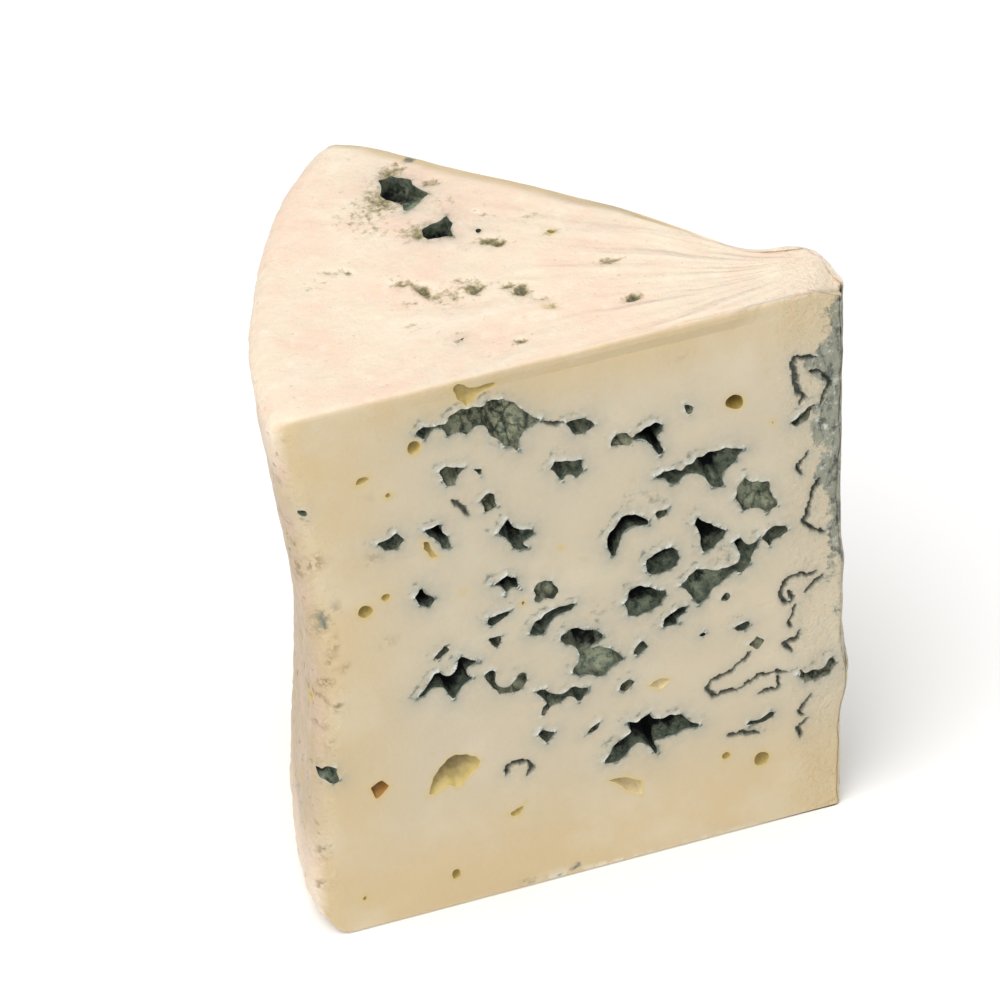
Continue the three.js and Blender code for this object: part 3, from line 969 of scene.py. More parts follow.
    def refine_near(self, places_near: KDTree, bands: tuple[float, ...]) -> None:
        """Subdivides the faces close to some places, once for each band.

        Args:
            places_near: The places.
            bands: How far from a place each round of cuts reaches, in metres.
        """
        make_active(self.piece)
        for band in bands:
            bpy.ops.object.mode_set(mode="EDIT")
            mesh = bmesh.from_edit_mesh(self.piece.data)
            for face in mesh.faces:
                face.select_set(places_near.find(face.calc_center_median())[2] < band)
            bmesh.update_edit_mesh(self.piece.data)
            bpy.ops.mesh.subdivide(number_cuts=1)
            bpy.ops.object.mode_set(mode="OBJECT")

    def skin_share(self, rows: np.ndarray) -> np.ndarray:
        """Tells the skin from the cut faces.

        Args:
            rows: The places, one to a row.

        Returns:
            For each place, 1 on the rind, the top and the base, and 0 on the cut faces.
        """
        reach, angle, height = self.polar(rows)
        lump = 6 * MM * np.exp(-(((reach - 12 * MM) / (9 * MM)) ** 2)) * smoothstep(
            86 * MM, 97 * MM, height
        )
        from_cut = np.minimum(reach * np.sin(angle), reach * np.sin(self.sector - angle) + lump)
        from_skin = np.minimum(
            np.minimum(height, self.height - height), self.rind_reach(angle, height) - reach
        )
        return smoothstep(-0.9 * MM, 0.9 * MM, from_cut - from_skin)

    def roughen(self, cracks: Cracks) -> None:
        """Gives the surfaces the shallow waves, ridges, crumbs and hair cracks of real cheese.

        Args:
            cracks: The cracks of the front face.
        """
        rows = places(self.piece)
        out = normals_of(self.piece)
        reach, angle, height = self.polar(rows)
        skin = self.skin_share(rows)
        lifted = smoothstep(0.2 * MM, 2.5 * MM, height)
        waves = rough(rows, 22 * MM) * self.wave_height + rough(rows, 7 * MM, 3.0) * 0.13 * MM
        waves += rough(rows, 2.6 * MM, 9.0) * 0.05 * MM
        on_top = skin * smoothstep(self.height - 2 * MM, self.height - 0.5 * MM, height)
        fan_x, fan_y = self.fan_focus
        turn = np.arctan2(rows[:, 1] - fan_y, fan_x - rows[:, 0])
        fans = np.stack([turn * 0.03, reach * 0.05, height * 0.0], axis=1)
        ridges = rough(fans, 1.8 * MM, 5.0) * self.ridge_height * on_top * smoothstep(78 * MM, 30 * MM, reach)
        ridges *= smoothstep(8 * MM, 22 * MM, reach)
        on_rind = skin * (1.0 - on_top)
        crags = rough(rows, 4 * MM, 12.0) * self.crag_height
        crags -= np.abs(rough(rows, 1.8 * MM, 15.0)) * 0.35 * MM
        near_tip = 1.0 - smoothstep(5 * MM, 12 * MM, reach)
        crumbs = (rough(rows, 9 * MM, 20.0) * 0.7 + rough(rows, 3.2 * MM, 23.0) * 0.25) * MM * near_tip
        crumbs += rough(rows, 2.4 * MM, 26.0) * 0.35 * MM * on_top * smoothstep(22 * MM, 12 * MM, reach)
        back, across = (self.tip.x - rows[:, 0]) / MM, (rows[:, 1] - self.tip.y) / MM
        dents = np.max([dent.at(back, across) for dent in TOP_DENTS], axis=0)
        dents = dents**2 * on_top * (0.7 + rough(rows, 1.5 * MM, 37.0)) * self.dent_depth
        move = (waves + ridges + crags * on_rind + crumbs - dents) * lifted
        rows = rows + out * move[:, None]
        rows[:, 1] += cracks.share(rows) * self.crack_depth
        put_places(self.piece, rows)

    def cut_out(self, cutter: bpy.types.Object) -> None:
        """Takes a cutter out of the wedge and removes it.

        Args:
            cutter: The solid to take out. Its material goes to the new walls.
        """
        apply_modifier(
            self.piece, "BOOLEAN", operation="DIFFERENCE", solver="MANIFOLD", object=cutter,
            material_mode="TRANSFER",
        )
        bpy.data.objects.remove(cutter)


class Nodes:
    """Builds one material's node tree, node by node."""

    def __init__(self, name: str) -> None:
        """Makes an empty node material.

        Args:
            name: The material's name.
        """
        self.material = bpy.data.materials.new(name)
        self.material.use_nodes = True
        self.tree = self.material.node_tree
        self.tree.nodes.clear()
        self.place = self.add("ShaderNodeTexCoord").outputs["Object"]

    def add(self, kind: str, inputs: dict | None = None, **settings: object) -> bpy.types.Node:
        """Adds a node.

        Args:
            kind: Blender's name for the kind of node.
            inputs: Values or sockets for its inputs, by name or number.
            **settings: The node's own properties.

        Returns:
            The new node.
        """
        node = self.tree.nodes.new(kind)
        for name, value in settings.items():
            setattr(node, name, value)
        for name, value in (inputs or {}).items():
            if isinstance(value, bpy.types.NodeSocket):
                self.tree.links.new(value, node.inputs[name])
            else:
                node.inputs[name].default_value = value
        return node

    def attribute(self, name: str) -> bpy.types.NodeSocket:
        """Reads a number that the mesh's vertices hold."""
        return self.add("ShaderNodeAttribute", attribute_name=name).outputs["Fac"]

    def noise(self, size: float, detail: float = 3.0, roughness: float = 0.55, seed: float = 0.0,
              stretch: tuple[float, float, float] = (1.0, 1.0, 1.0)) -> bpy.types.NodeSocket:
        """Makes soft noise on the object's own coordinates.

        Args:
            size: The width of one patch in metres.
            detail: How many finer layers are added.
            roughness: How strong the finer layers are.
            seed: Moves the pattern in metres.
            stretch: How much the pattern is squeezed along each axis.

        Returns:
            The noise, about 0.5 on average.
        """
        mapped = self.add(
            "ShaderNodeMapping", {"Vector": self.place, "Location": (seed, seed, seed), "Scale": stretch}
        )
        return self.add(
            "ShaderNodeTexNoise",
            {"Vector": mapped.outputs[0], "Scale": 1.0 / size, "Detail": detail, "Roughness": roughness},
        ).outputs["Fac"]

    def spread(self, value: bpy.types.NodeSocket, low: float, high: float,
               start: float = 0.0, end: float = 1.0) -> bpy.types.NodeSocket:
        """Maps a value's range to another, smoothly and within its limits.

        Args:
            value: The value to map.
            low: The value that gives the start.
            high: The value that gives the end.
            start: The result at or below low.
            end: The result at or above high.

        Returns:
            The mapped value.
        """
        return self.add(
            "ShaderNodeMapRange",
            {"Value": value, "From Min": low, "From Max": high, "To Min": start, "To Max": end},
            interpolation_type="SMOOTHSTEP",
        ).outputs["Result"]

    def maths(self, operation: str, a: object, b: object = 0.0) -> bpy.types.NodeSocket:
        """Combines two values."""
        return self.add("ShaderNodeMath", {0: a, 1: b}, operation=operation, use_clamp=False).outputs[0]

    def mix(self, share: object, first: object, second: object) -> bpy.types.NodeSocket:
        """Mixes two colours.

        Args:
            share: The share of the second colour.
            first: The first colour, as a socket or as three numbers.
            second: The second colour, as a socket or as three numbers.

        Returns:
            The mixed colour.
        """
        node = self.add("ShaderNodeMix", data_type="RGBA", clamp_factor=True)
        for number, value in ((0, share), (6, first), (7, second)):
            if isinstance(value, bpy.types.NodeSocket):
                self.tree.links.new(value, node.inputs[number])
            elif number:
                node.inputs[number].default_value = (*value, 1.0)
            else:
                node.inputs[number].default_value = value
        return node.outputs[2]

    def bump(self, height: object, distance: float, normal: object = None) -> bpy.types.NodeSocket:
        """Turns a height pattern into a shading normal.

        Args:
            height: The pattern.
            distance: The height of the pattern in metres.
            normal: The normal that it is added to.

        Returns:
            The new normal.
        """
        inputs = {"Height": height, "Distance": distance, "Strength": 1.0}
        if normal is not None:
            inputs["Normal"] = normal
        return self.add("ShaderNodeBump", inputs).outputs[0]

    def finish(self, **inputs: object) -> bpy.types.Material:
        """Adds the shader and the output.

        Args:
            **inputs: The shader's inputs, with _ for each space in a name.

        Returns:
            The finished material.
        """
        named = {name.replace("_", " "): value for name, value in inputs.items()}
        shader = self.add("ShaderNodeBsdfPrincipled", named)
        self.add("ShaderNodeOutputMaterial", {"Surface": shader.outputs[0]})
        return self.material


Colour = tuple[float, float, float]


def light_of(red: int, green: int, blue: int) -> Colour:
    """Turns a colour in ordinary 0 to 255 display values into the linear values that shaders take."""
    parts = (value / 255 for value in (red, green, blue))
    return tuple(p / 12.92 if p <= 0.04045 else ((p + 0.055) / 1.055) ** 2.4 for p in parts)


@dataclass(frozen=True)
class CheeseSurface:
    """The outer surfaces: ivory paste on the cut faces, and pinkish skin on the rest."""

    focus: Point2
    warm: Colour = light_of(200, 180, 142)
    cool: Colour = light_of(196, 184, 160)
    pale: Colour = light_of(207, 196, 172)
    cream: Colour = light_of(228, 212, 190)
    pink: Colour = light_of(230, 204, 183)
    white: Colour = light_of(236, 224, 204)
    tan: Colour = light_of(184, 164, 130)
    blush: Colour = light_of(194, 170, 148)
    rust: Colour = light_of(116, 90, 56)
    bloom: Colour = light_of(240, 243, 239)
    # Pale crust colour, also used as a painted highlight on edges that catch the light.
    crumb_and_highlight: Colour = light_of(226, 228, 219)
    haze: Colour = light_of(142, 148, 140)
    smear: Colour = light_of(104, 110, 100)
    strip: Colour = light_of(136, 139, 124)
    streak: Colour = light_of(62, 70, 66)
    olive: Colour = light_of(150, 139, 100)
    yellowed: Colour = light_of(196, 174, 116)
    crack: Colour = light_of(84, 89, 78)
    ochre: Colour = light_of(198, 174, 128)

    def paste(self, n: Nodes) -> bpy.types.NodeSocket:
        """Gives the colour of the cut paste: yellower near its borders, cooler in the middle.

        Args:
            n: The node builder.

        Returns:
            The colour.
        """
        base = n.mix(n.attribute("warmth"), self.cool, self.warm)
        base = n.mix(n.maths("MULTIPLY", n.attribute("crown"), 0.45), base, self.ochre)
        base = n.mix(n.spread(n.noise(14 * MM, 3.0), 0.45, 0.75, 0.0, 0.6), base, self.pale)
        dimples = n.spread(n.noise(2.2 * MM, 2.0, 0.5, 5.3), 0.66, 0.74, 0.0, 0.3)
        base = n.mix(dimples, base, self.ochre)
        return n.mix(n.spread(n.noise(1.3 * MM, 4.0, 0.6, 0.3), 0.5, 0.8, 0.0, 0.25), base, self.warm)

    def skin(self, n: Nodes, ridge: bpy.types.NodeSocket) -> bpy.types.NodeSocket:
        """Gives the colour of the skin.

        Args:
            n: The node builder.
            ridge: The pattern of the ridges.

        Returns:
            The colour.
        """
        base = n.mix(n.spread(n.noise(9 * MM, 4.0), 0.38, 0.7), self.cream, self.pink)
        base = n.mix(n.spread(n.noise(3.5 * MM, 4.0, 0.6, 0.5), 0.5, 0.75, 0.0, 0.6), base, self.white)
        base = n.mix(n.spread(ridge, 0.48, 0.75, 0.0, 0.5), base, self.white)
        # The rind is tanner round its waist; the band reaches up towards the lip, where it is partly the
        # rind's own colour and partly painted shade against the overhead light.
        low = n.mix(n.spread(n.noise(5 * MM, 3.0, 0.6, 0.8), 0.42, 0.62), self.tan, self.blush)
        base = n.mix(n.maths("MULTIPLY", n.attribute("waist"), 0.9), base, low)
        specks = n.spread(n.noise(1.9 * MM, 3.0, 0.6, 0.9), 0.6, 0.7, 0.0, 0.55)
        return n.mix(n.maths("MULTIPLY", specks, n.attribute("rind")), base, self.rust)

    def ridges(self, n: Nodes) -> bpy.types.NodeSocket:
        """Gives the pattern of soft ridges that fan out from near the tip.

        Args:
            n: The node builder.

        Returns:
            The pattern, about 0.5 on average.
        """
        split = n.add("ShaderNodeSeparateXYZ", {0: n.place})
        across = n.maths("SUBTRACT", split.outputs["Y"], self.focus[1])
        back = n.maths("SUBTRACT", self.focus[0], split.outputs["X"])
        turn = n.maths("ARCTAN2", across, back)
        wander = n.maths("MULTIPLY", n.noise(16 * MM, 2.0, 0.5, 1.7), 0.9)
        fan = n.add("ShaderNodeCombineXYZ", {
            "X": n.maths("ADD", n.maths("MULTIPLY", turn, 6.0), wander),
            "Y": n.maths("MULTIPLY", back, 16.0),
        })
        return n.add(
            "ShaderNodeTexNoise", {"Vector": fan.outputs[0], "Scale": 1.6, "Detail": 1.6}
        ).outputs["Fac"]

    def mould(self, n: Nodes, base: bpy.types.NodeSocket,
              skin: bpy.types.NodeSocket) -> bpy.types.NodeSocket:
        """Lays the mould over a colour: haze, smudges, the tip's strip, the cracks, pale bloom, and a pale
        crust on the openings' upper-left rims and the foot that is partly a painted highlight.

        Args:
            n: The node builder.
            base: The colour underneath.
            skin: The share of skin.

        Returns:
            The colour with its mould.
        """
        fine = n.noise(1.1 * MM, 4.0, 0.65, 0.7)
        stain = n.attribute("stain")
        base = n.mix(n.maths("MULTIPLY", n.attribute("haze"), n.spread(fine, 0.25, 0.6, 0.45, 1.0)),
                     base, self.haze)
        mottled = n.maths("ADD", n.maths("MULTIPLY", fine, 2.0), stain)
        soft, core = n.spread(mottled, 1.2, 1.8), n.spread(mottled, 1.6, 2.25, 0.0, 0.9)
        patchy = n.spread(n.maths("ADD", fine, stain), 0.7, 1.15)
        base = n.mix(n.maths("MULTIPLY", patchy, n.maths("SUBTRACT", 1.0, skin)), base, self.smear)
        base = n.mix(n.maths("MULTIPLY", soft, skin), base, self.olive)
        base = n.mix(n.maths("MULTIPLY", core, skin), base, self.streak)
        base = n.mix(n.maths("MULTIPLY", n.attribute("rusty"), n.spread(fine, 0.42, 0.54)),
                     base, self.rust)
        base = n.mix(n.maths("MULTIPLY", n.attribute("yellowed"), 0.6), base, self.yellowed)
        ragged = n.maths("MULTIPLY", n.maths("SUBTRACT", fine, 0.5), 1.8)
        strip = n.spread(n.maths("ADD", n.attribute("strip"), ragged), 0.35, 0.8)
        base = n.mix(n.maths("MULTIPLY", strip, n.spread(fine, 0.2, 0.5, 0.55, 0.95)), base, self.strip)
        streaks = n.spread(n.noise(1.5 * MM, 5.0, 0.65, 2.3, (1.0, 1.0, 0.5)), 0.47, 0.62)
        base = n.mix(n.maths("MULTIPLY", strip, n.maths("MULTIPLY", streaks, 0.85)), base, self.streak)
        flecks = n.spread(n.noise(1.7 * MM, 5.0, 0.7, 3.1), 0.54, 0.7, 0.0, 0.5)
        base = n.mix(n.maths("MULTIPLY", strip, flecks), base, self.bloom)
        # Pale crust along the openings' upper-left rims and the foot's chips, partly a painted highlight
        # where light catches those edges.
        crust_and_highlight_patches = n.spread(n.noise(1.8 * MM, 4.0, 0.6, 4.2), 0.4, 0.6, 0.0, 0.9)
        base = n.mix(n.maths("MULTIPLY", n.attribute("fringe_and_highlight"), crust_and_highlight_patches), base, self.crumb_and_highlight)
        dark = n.mix(n.spread(fine, 0.42, 0.6), self.crack, self.streak)
        return n.mix(n.attribute("crack"), base, dark)

    def material(self) -> bpy.types.Material:
        """Builds the material.

        Returns:
            The material.
        """
        n = Nodes("cheese_surface")
        skin, stain = n.attribute("skin"), n.attribute("stain")
        ridge = self.ridges(n)
        base = self.mould(n, n.mix(skin, self.paste(n), self.skin(n, ridge)), skin)
        roughness = n.spread(n.noise(2.6 * MM, 3.0, 0.5, 1.1), 0.3, 0.7, 0.45, 0.62)
        folds = n.maths("MULTIPLY", n.noise(3.2 * MM, 4.0, 0.55, 0.2), n.maths("ADD", skin, 0.35))
        waves = n.bump(folds, 0.35 * MM)
        lined = n.bump(n.maths("MULTIPLY", ridge, n.attribute("ridged")), 1.2 * MM, waves)
        crags = n.maths("MULTIPLY", n.noise(1.1 * MM, 3.0, 0.6, 1.9), n.attribute("craggy"))
        pits = n.maths("MULTIPLY", n.noise(1.6 * MM, 4.0, 0.6, 3.7), n.maths("MULTIPLY", stain, skin))
        pitted = n.bump(pits, -0.9 * MM, lined)
        craggy = n.bump(crags, 0.6 * MM, pitted)
        grain = n.bump(n.noise(0.75 * MM, 3.0, 0.6), 0.08 * MM, craggy)
        return n.finish(
            Base_Color=base, Roughness=roughness, Normal=grain, Subsurface_Weight=0.3,
            Subsurface_Radius=(1.0, 0.6, 0.34), Subsurface_Scale=2.2 * MM, Specular_IOR_Level=0.4,
        )


@dataclass(frozen=True)
class MouldLining:
    """Blue-green mould on the walls of an opening, near black where it is deep and under its upper-left rim:
    partly darker mould, partly painted shade.
    """

    pale: Colour = light_of(182, 181, 150)
    grey: Colour = light_of(148, 158, 135)
    green: Colour = light_of(86, 103, 90)
    # Near-black mould, also used as painted shade in the depths and under the upper-left rims.
    deep_mould_and_shade: Colour = light_of(10, 14, 14)
    bend: float = 1.8 * MM

    def seams(self, n: Nodes) -> bpy.types.NodeSocket:
        """Gives the distance from the bent seams between curd grains.

        Args:
            n: The node builder.

        Returns:
            The distance, 0 on a seam.
        """
        wobble = n.add("ShaderNodeTexNoise", {"Vector": n.place, "Scale": 0.7 / MM}).outputs["Color"]
        small = n.add("ShaderNodeVectorMath", {0: wobble, 1: (self.bend,) * 3}, operation="MULTIPLY")
        bent = n.add("ShaderNodeVectorMath", {0: n.place, 1: small.outputs[0]}, operation="ADD")
        return n.add(
            "ShaderNodeTexVoronoi", {"Vector": bent.outputs[0], "Scale": 0.27 / MM},
            feature="DISTANCE_TO_EDGE",
        ).outputs["Distance"]

    def material(self) -> bpy.types.Material:
        """Builds the material: grey-green fur, dark seams between the grains, and black in the depths and
        under the upper-left rims, partly darker mould and partly painted shade.

        Returns:
            The material.
        """
        n = Nodes("mould_lining")
        fur = n.noise(1.2 * MM, 5.0, 0.7)
        tone = n.attribute("tone")
        light = n.mix(n.spread(tone, 0.25, 0.9), self.grey, self.pale)
        base = n.mix(n.spread(fur, 0.34, 0.58), self.green, light)
        folds = n.maths("MULTIPLY", n.spread(self.seams(n), 0.0, 0.12, 0.7, 0.0), n.spread(tone, 0.3, 0.7))
        base = n.mix(folds, base, self.deep_mould_and_shade)
        # Painted shade: the deeper a place in the opening, the darker it is painted, less so for a pale
        # opening.
        depth = n.maths("SUBTRACT", n.attribute("depth"), n.maths("MULTIPLY", tone, 0.6))
        depth = n.maths("ADD", depth, n.spread(fur, 0.3, 0.7, 0.05, -0.05))
        base = n.mix(n.spread(depth, 0.0, 0.22), base, self.deep_mould_and_shade)
        # Painted shadow under the upper-left rims, and a thin dark outline round each opening.
        base = n.mix(n.attribute("rim_shadow"), base, self.deep_mould_and_shade)
        furry = n.bump(n.noise(0.7 * MM, 4.0, 0.7), 0.4 * MM)
        return n.finish(Base_Color=base, Roughness=0.85, Normal=furry, Specular_IOR_Level=0.25)


@dataclass(frozen=True)
class BareLining:
    """The bare wall of an opening that no mould has reached: yellow, ochre or orange-brown."""

    pale: Colour = light_of(214, 198, 158)
    yellow: Colour = light_of(202, 182, 118)
    olive: Colour = light_of(166, 144, 76)
    orange: Colour = light_of(190, 132, 72)
    shade: Colour = light_of(96, 80, 46)

    def material(self) -> bpy.types.Material:
        """Builds the material.

        Returns:
            The material.
        """
        n = Nodes("bare_lining")
        tone = n.attribute("tone")
        base = n.mix(n.spread(tone, 0.0, 0.15), self.pale, self.yellow)
        base = n.mix(n.spread(tone, 0.2, 0.75), base, self.olive)
        base = n.mix(n.spread(tone, 0.75, 1.0), base, self.orange)
        wet = n.noise(1.5 * MM, 3.0)
        base = n.mix(n.spread(wet, 0.45, 0.75, 0.0, 0.4), base, self.yellow)
        shaded = n.maths("ADD", n.attribute("depth"), n.spread(wet, 0.3, 0.7, 0.06, -0.06))
        base = n.mix(n.spread(shaded, 0.06, 0.42, 0.0, 0.8), base, self.shade)
        folds = n.bump(n.noise(1.0 * MM, 3.0, 0.6), 0.15 * MM)
        return n.finish(
            Base_Color=base, Roughness=0.5, Normal=folds, Subsurface_Weight=0.4,
            Subsurface_Radius=(1.0, 0.7, 0.35), Subsurface_Scale=2 * MM,
        )


@dataclass
class Studio:
    """The pale floor, the soft lights and the camera."""

    middle: Vector
    floor_size: float = 8.0
    camera_azimuth: float = math.radians(-18.08)
    camera_elevation: float = math.radians(37.12)
    camera_distance: float = 1.334
    camera_roll: float = math.radians(-3.05)
    lens: float = 300.0

    def floor(self) -> bpy.types.Object:
        """Lays the floor.

        Returns:
            The floor's object.
        """
        deselect_everything()
        bpy.ops.mesh.primitive_plane_add(size=self.floor_size)
        floor = bpy.context.active_object
        floor.name = "studio_floor"
        n = Nodes("studio_paper")
        floor.data.materials.append(n.finish(Base_Color=(0.95, 0.95, 0.95, 1.0), Roughness=0.9))
        return floor

    def light(self, name: str, place: tuple[float, float, float], size: float, power: float,
              colour: Colour) -> None:
        """Hangs a square area light that faces the wedge.

        Args:
            name: The light's name.
            place: Its place in metres.
            size: The length of its sides in metres.
            power: Its power in watts.
            colour: Its colour.
        """
        deselect_everything()
        bpy.ops.object.light_add(type="AREA", location=place)
        lamp = bpy.context.active_object
        lamp.name = name
        lamp.data.size = size
        lamp.data.energy = power
        lamp.data.color = colour
        lamp.rotation_euler = (self.middle - Vector(place)).to_track_quat("-Z", "Y").to_euler()

    def build(self) -> None:
        """Makes the floor, the lights, the sky light and the camera."""
        self.floor()
        self.light("overhead_softbox", (-0.4, -0.32, 1.4), 0.9, 13.5, (1.0, 0.99, 0.97))
        self.light("front_fill", (-1.0, -1.4, 0.8), 2.0, 13.0, (1.0, 0.98, 0.95))
        self.light("back_fill", (1.1, 0.9, 0.8), 1.4, 3.0, (1.0, 1.0, 1.0))
        world = bpy.data.worlds.new("studio_world")
        world.use_nodes = True
        world.node_tree.nodes["Background"].inputs["Color"].default_value = (1.0, 1.0, 1.0, 1.0)
        world.node_tree.nodes["Background"].inputs["Strength"].default_value = 0.55
        bpy.context.scene.world = world
        bpy.context.scene.view_settings.view_transform = "Standard"
        self.camera()

    def camera(self) -> None:
        """Places the camera."""
        flat = math.cos(self.camera_elevation)
        back = Vector((
            math.sin(self.camera_azimuth) * flat,
            -math.cos(self.camera_azimuth) * flat,
            math.sin(self.camera_elevation),
        ))
        bpy.ops.object.camera_add(location=self.middle + back * self.camera_distance)
        camera = bpy.context.active_object
        camera.name = "studio_camera"
        camera.data.lens = self.lens
        camera.data.clip_end = 20.0
        turned = (-back).to_track_quat("-Z", "Y").to_matrix() @ Matrix.Rotation(self.camera_roll, 3, "Z")
        camera.rotation_euler = turned.to_euler()
        bpy.context.scene.camera = camera


@dataclass
class BlueCheese:
    """The whole wedge: the block, its openings, what each vertex knows, and its finishes."""

    wedge: Wedge
    seed: int = 7
    drawn: list[DrawnOpening] = field(default_factory=list)

    def draw_openings(self) -> None:
        """Lists every opening of the wedge with the plane that it is drawn on."""
        front, back, top = (self.wedge.placement(side) for side in (Side.FRONT, Side.BACK, Side.TOP))
        self.drawn += [DrawnOpening(opening, front) for opening in FRONT_MOULD]
        self.drawn += [DrawnOpening(self.bared(opening), front) for opening in FRONT_BARE]
        self.drawn += [DrawnOpening(opening, top) for opening in TOP_MOULD]
        self.drawn += [DrawnOpening(self.bared(opening), top) for opening in TOP_BARE]
        self.scatter_back(back)
        self.scatter_rind()

    @staticmethod
    def bared(opening: Opening) -> Opening:
        """Gives the same opening with a bare lining."""
        return replace(opening, lining=Lining.BARE)

    @staticmethod
    def star(chance: random.Random, x: float, z: float, size: float, flat: float) -> tuple[Point2, ...]:
        """Draws a ragged star of four to eight corners.

        Args:
            chance: The source of chance.
            x: Its middle's distance along the plane, in millimetres.
            z: Its middle's height, in millimetres.
            size: Its half width, in millimetres.
            flat: Its height as a share of its width.

        Returns:
            The corners in order.
        """
        count = chance.randint(4, 8)
        start = chance.uniform(0.0, math.tau)
        corners = []
        for i in range(count):
            turn = start + math.tau * (i + chance.uniform(-0.25, 0.25)) / count
            reach = size * (chance.uniform(0.75, 1.3) if i % 2 else chance.uniform(0.4, 0.8))
            corners.append((x + reach * math.cos(turn), z + reach * flat * math.sin(turn)))
        return tuple(corners)

    def scatter_back(self, back: Placement) -> None:
        """Scatters openings over the back cut face, crowded in its middle and rare at its edges.

        Args:
            back: The plane of the back cut face.
        """
        chance = random.Random(self.seed)
        taken: list[tuple[float, float, float]] = []
        for _ in range(BACK_TRIES):
            x, z = chance.uniform(9, 90), chance.uniform(8, 98)
            middle = math.exp(-(((x - 45) / 36) ** 4) - ((z - 52) / 40) ** 4)
            size = chance.uniform(0.9, 2.1) + 4.4 * middle * chance.random() ** 1.5
            if chance.random() > 0.15 + 0.85 * middle:
                continue
            if any(math.hypot(x - a, z - b) < size + c + BACK_GAP for a, b, c in taken):
                continue
            if len(taken) >= BACK_OPENINGS:
                break
            taken.append((x, z, size))
            lining = Lining.MOULD if chance.random() < 0.25 + 0.7 * middle else Lining.BARE
            depth = min(round(1.5 + size * 1.5), max(2, x / 4))
            outline = self.star(chance, x, z, size, chance.uniform(0.55, 0.95))
            self.drawn.append(DrawnOpening(Opening(outline, depth, lining, Side.BACK, 0.06), back))

    def scatter_rind(self) -> None:
        """Scatters small pits over the rind."""
        chance = random.Random(self.seed + 1)
        for _ in range(RIND_PITS):
            angle = chance.uniform(0.03, self.wedge.sector - 0.03)
            height = chance.uniform(6, 98) * MM
            size = 0.4 + 1.3 * chance.random() ** 3
            outline = self.star(chance, 0.0, 0.0, size, chance.uniform(0.5, 1.0))
            lining = Lining.MOULD if chance.random() < 0.3 else Lining.BARE
            self.drawn.append(DrawnOpening(
                Opening(outline, 1.5, lining, Side.RIND, 0.0), self.wedge.rind_placement(angle, height)
            ))

    def outline_points(self, linings: tuple[Lining, ...],
                       sides: tuple[Side, ...]) -> tuple[list[Vector], list[DrawnOpening]]:
        """Gathers the outlines of the openings with these linings on these sides.

        Args:
            linings: The linings to take.
            sides: The sides to take.

        Returns:
            The points, and the opening that each one belongs to.
        """
        found = [
            (item.placement.at(point), item)
            for item in self.drawn if item.opening.lining in linings and item.opening.side in sides
            for point in sampled_loop(item.opening, 0.5)
        ]
        return [place for place, _ in found], [item for _, item in found]

    def open_up(self, finishes: dict[Lining, bpy.types.Material]) -> None:
        """Cuts all the openings, one lining at a time.

        Args:
            finishes: The material for each lining.
        """
        cutters = (
            OpeningCutter("mould", Lining.MOULD, SHOWN, 0.3 * MM, 0.5 * MM, shake=0.32, grow=0.14, kept=0.3),
            OpeningCutter("hidden_mould", Lining.MOULD, HIDDEN, 0.5 * MM, 0.7 * MM, outside=4.2),
            OpeningCutter("bare", Lining.BARE, SHOWN, 0.33 * MM, 0.25 * MM),
            OpeningCutter("hidden_bare", Lining.BARE, HIDDEN, 0.4 * MM, 0.3 * MM, outside=4.2),
        )
        for cutter in cutters:
            solid = cutter.build([item for item in self.drawn if cutter.takes(item)])
            solid.data.materials.append(finishes[cutter.lining])
            LOG.info("%s cutter: %d faces", cutter.name, len(solid.data.polygons))
            self.wedge.cut_out(solid)

    def note_openings(self, rows: np.ndarray) -> dict[str, np.ndarray]:
        """Measures how each place lies to the openings nearest to it.

        Args:
            rows: The places, one to a row.

        Returns:
            The haze and stain of mould and its pale fringe with a painted highlight on the upper-left rims,
            the depth in an opening, its tone, the yellow border of a bare opening, and the painted shadow
            under a mouldy one's upper-left rim with a thin dark outline round it.
        """
        mould_points, mould_items = self.outline_points((Lining.MOULD,), tuple(Side))
        every_points, every_items = self.outline_points(tuple(Lining), tuple(Side))
        mould, every = tree_of(mould_points), tree_of(every_points)
        haze, stain, fringe_and_highlight, depth, tone, yellowed, rim_shadow = (np.zeros(len(rows)) for _ in range(7))
        for number, row in enumerate(rows):
            place = Vector(row)
            nearest, at, away = mould.find(place)
            item = mould_items[at]
            size = min(item.opening.depth / 4.5, 1.0)
            rise, slide = ((place - nearest).dot(way) for way in (item.placement.up, item.placement.along))
            flat = max(math.hypot(rise, slide), 0.05 * MM)
            facing = (rise * 0.85 + slide * 0.5) / flat
            away = math.hypot(flat, max((place - nearest).dot(item.placement.inward), 0.0))
            haze[number] = size * (0.85 * math.exp(-away / (0.9 * MM)) + 0.26 * math.exp(-away / (4 * MM)))
            stain[number] = size * (0.7 - 0.35 * facing) * math.exp(-((away / (0.5 * MM)) ** 2))
            edge = math.exp(-(((away - 1.5 * MM) / (0.4 * MM)) ** 2)) * max(facing, 0.0)
            stain[number] = max(stain[number], 0.5 * size * edge)
            # Painted shadow: a dark band inside a mouldy opening, widest under its upper-left rim where the
            # light is cut off, and a thin dark outline elsewhere.
            shadow = (0.42 + 0.85 * max(-facing, 0.0)) * MM
            rim_shadow[number] = 0.8 * math.exp(-((flat / shadow) ** 2)) * (1.0 - 0.5 * item.opening.tone)
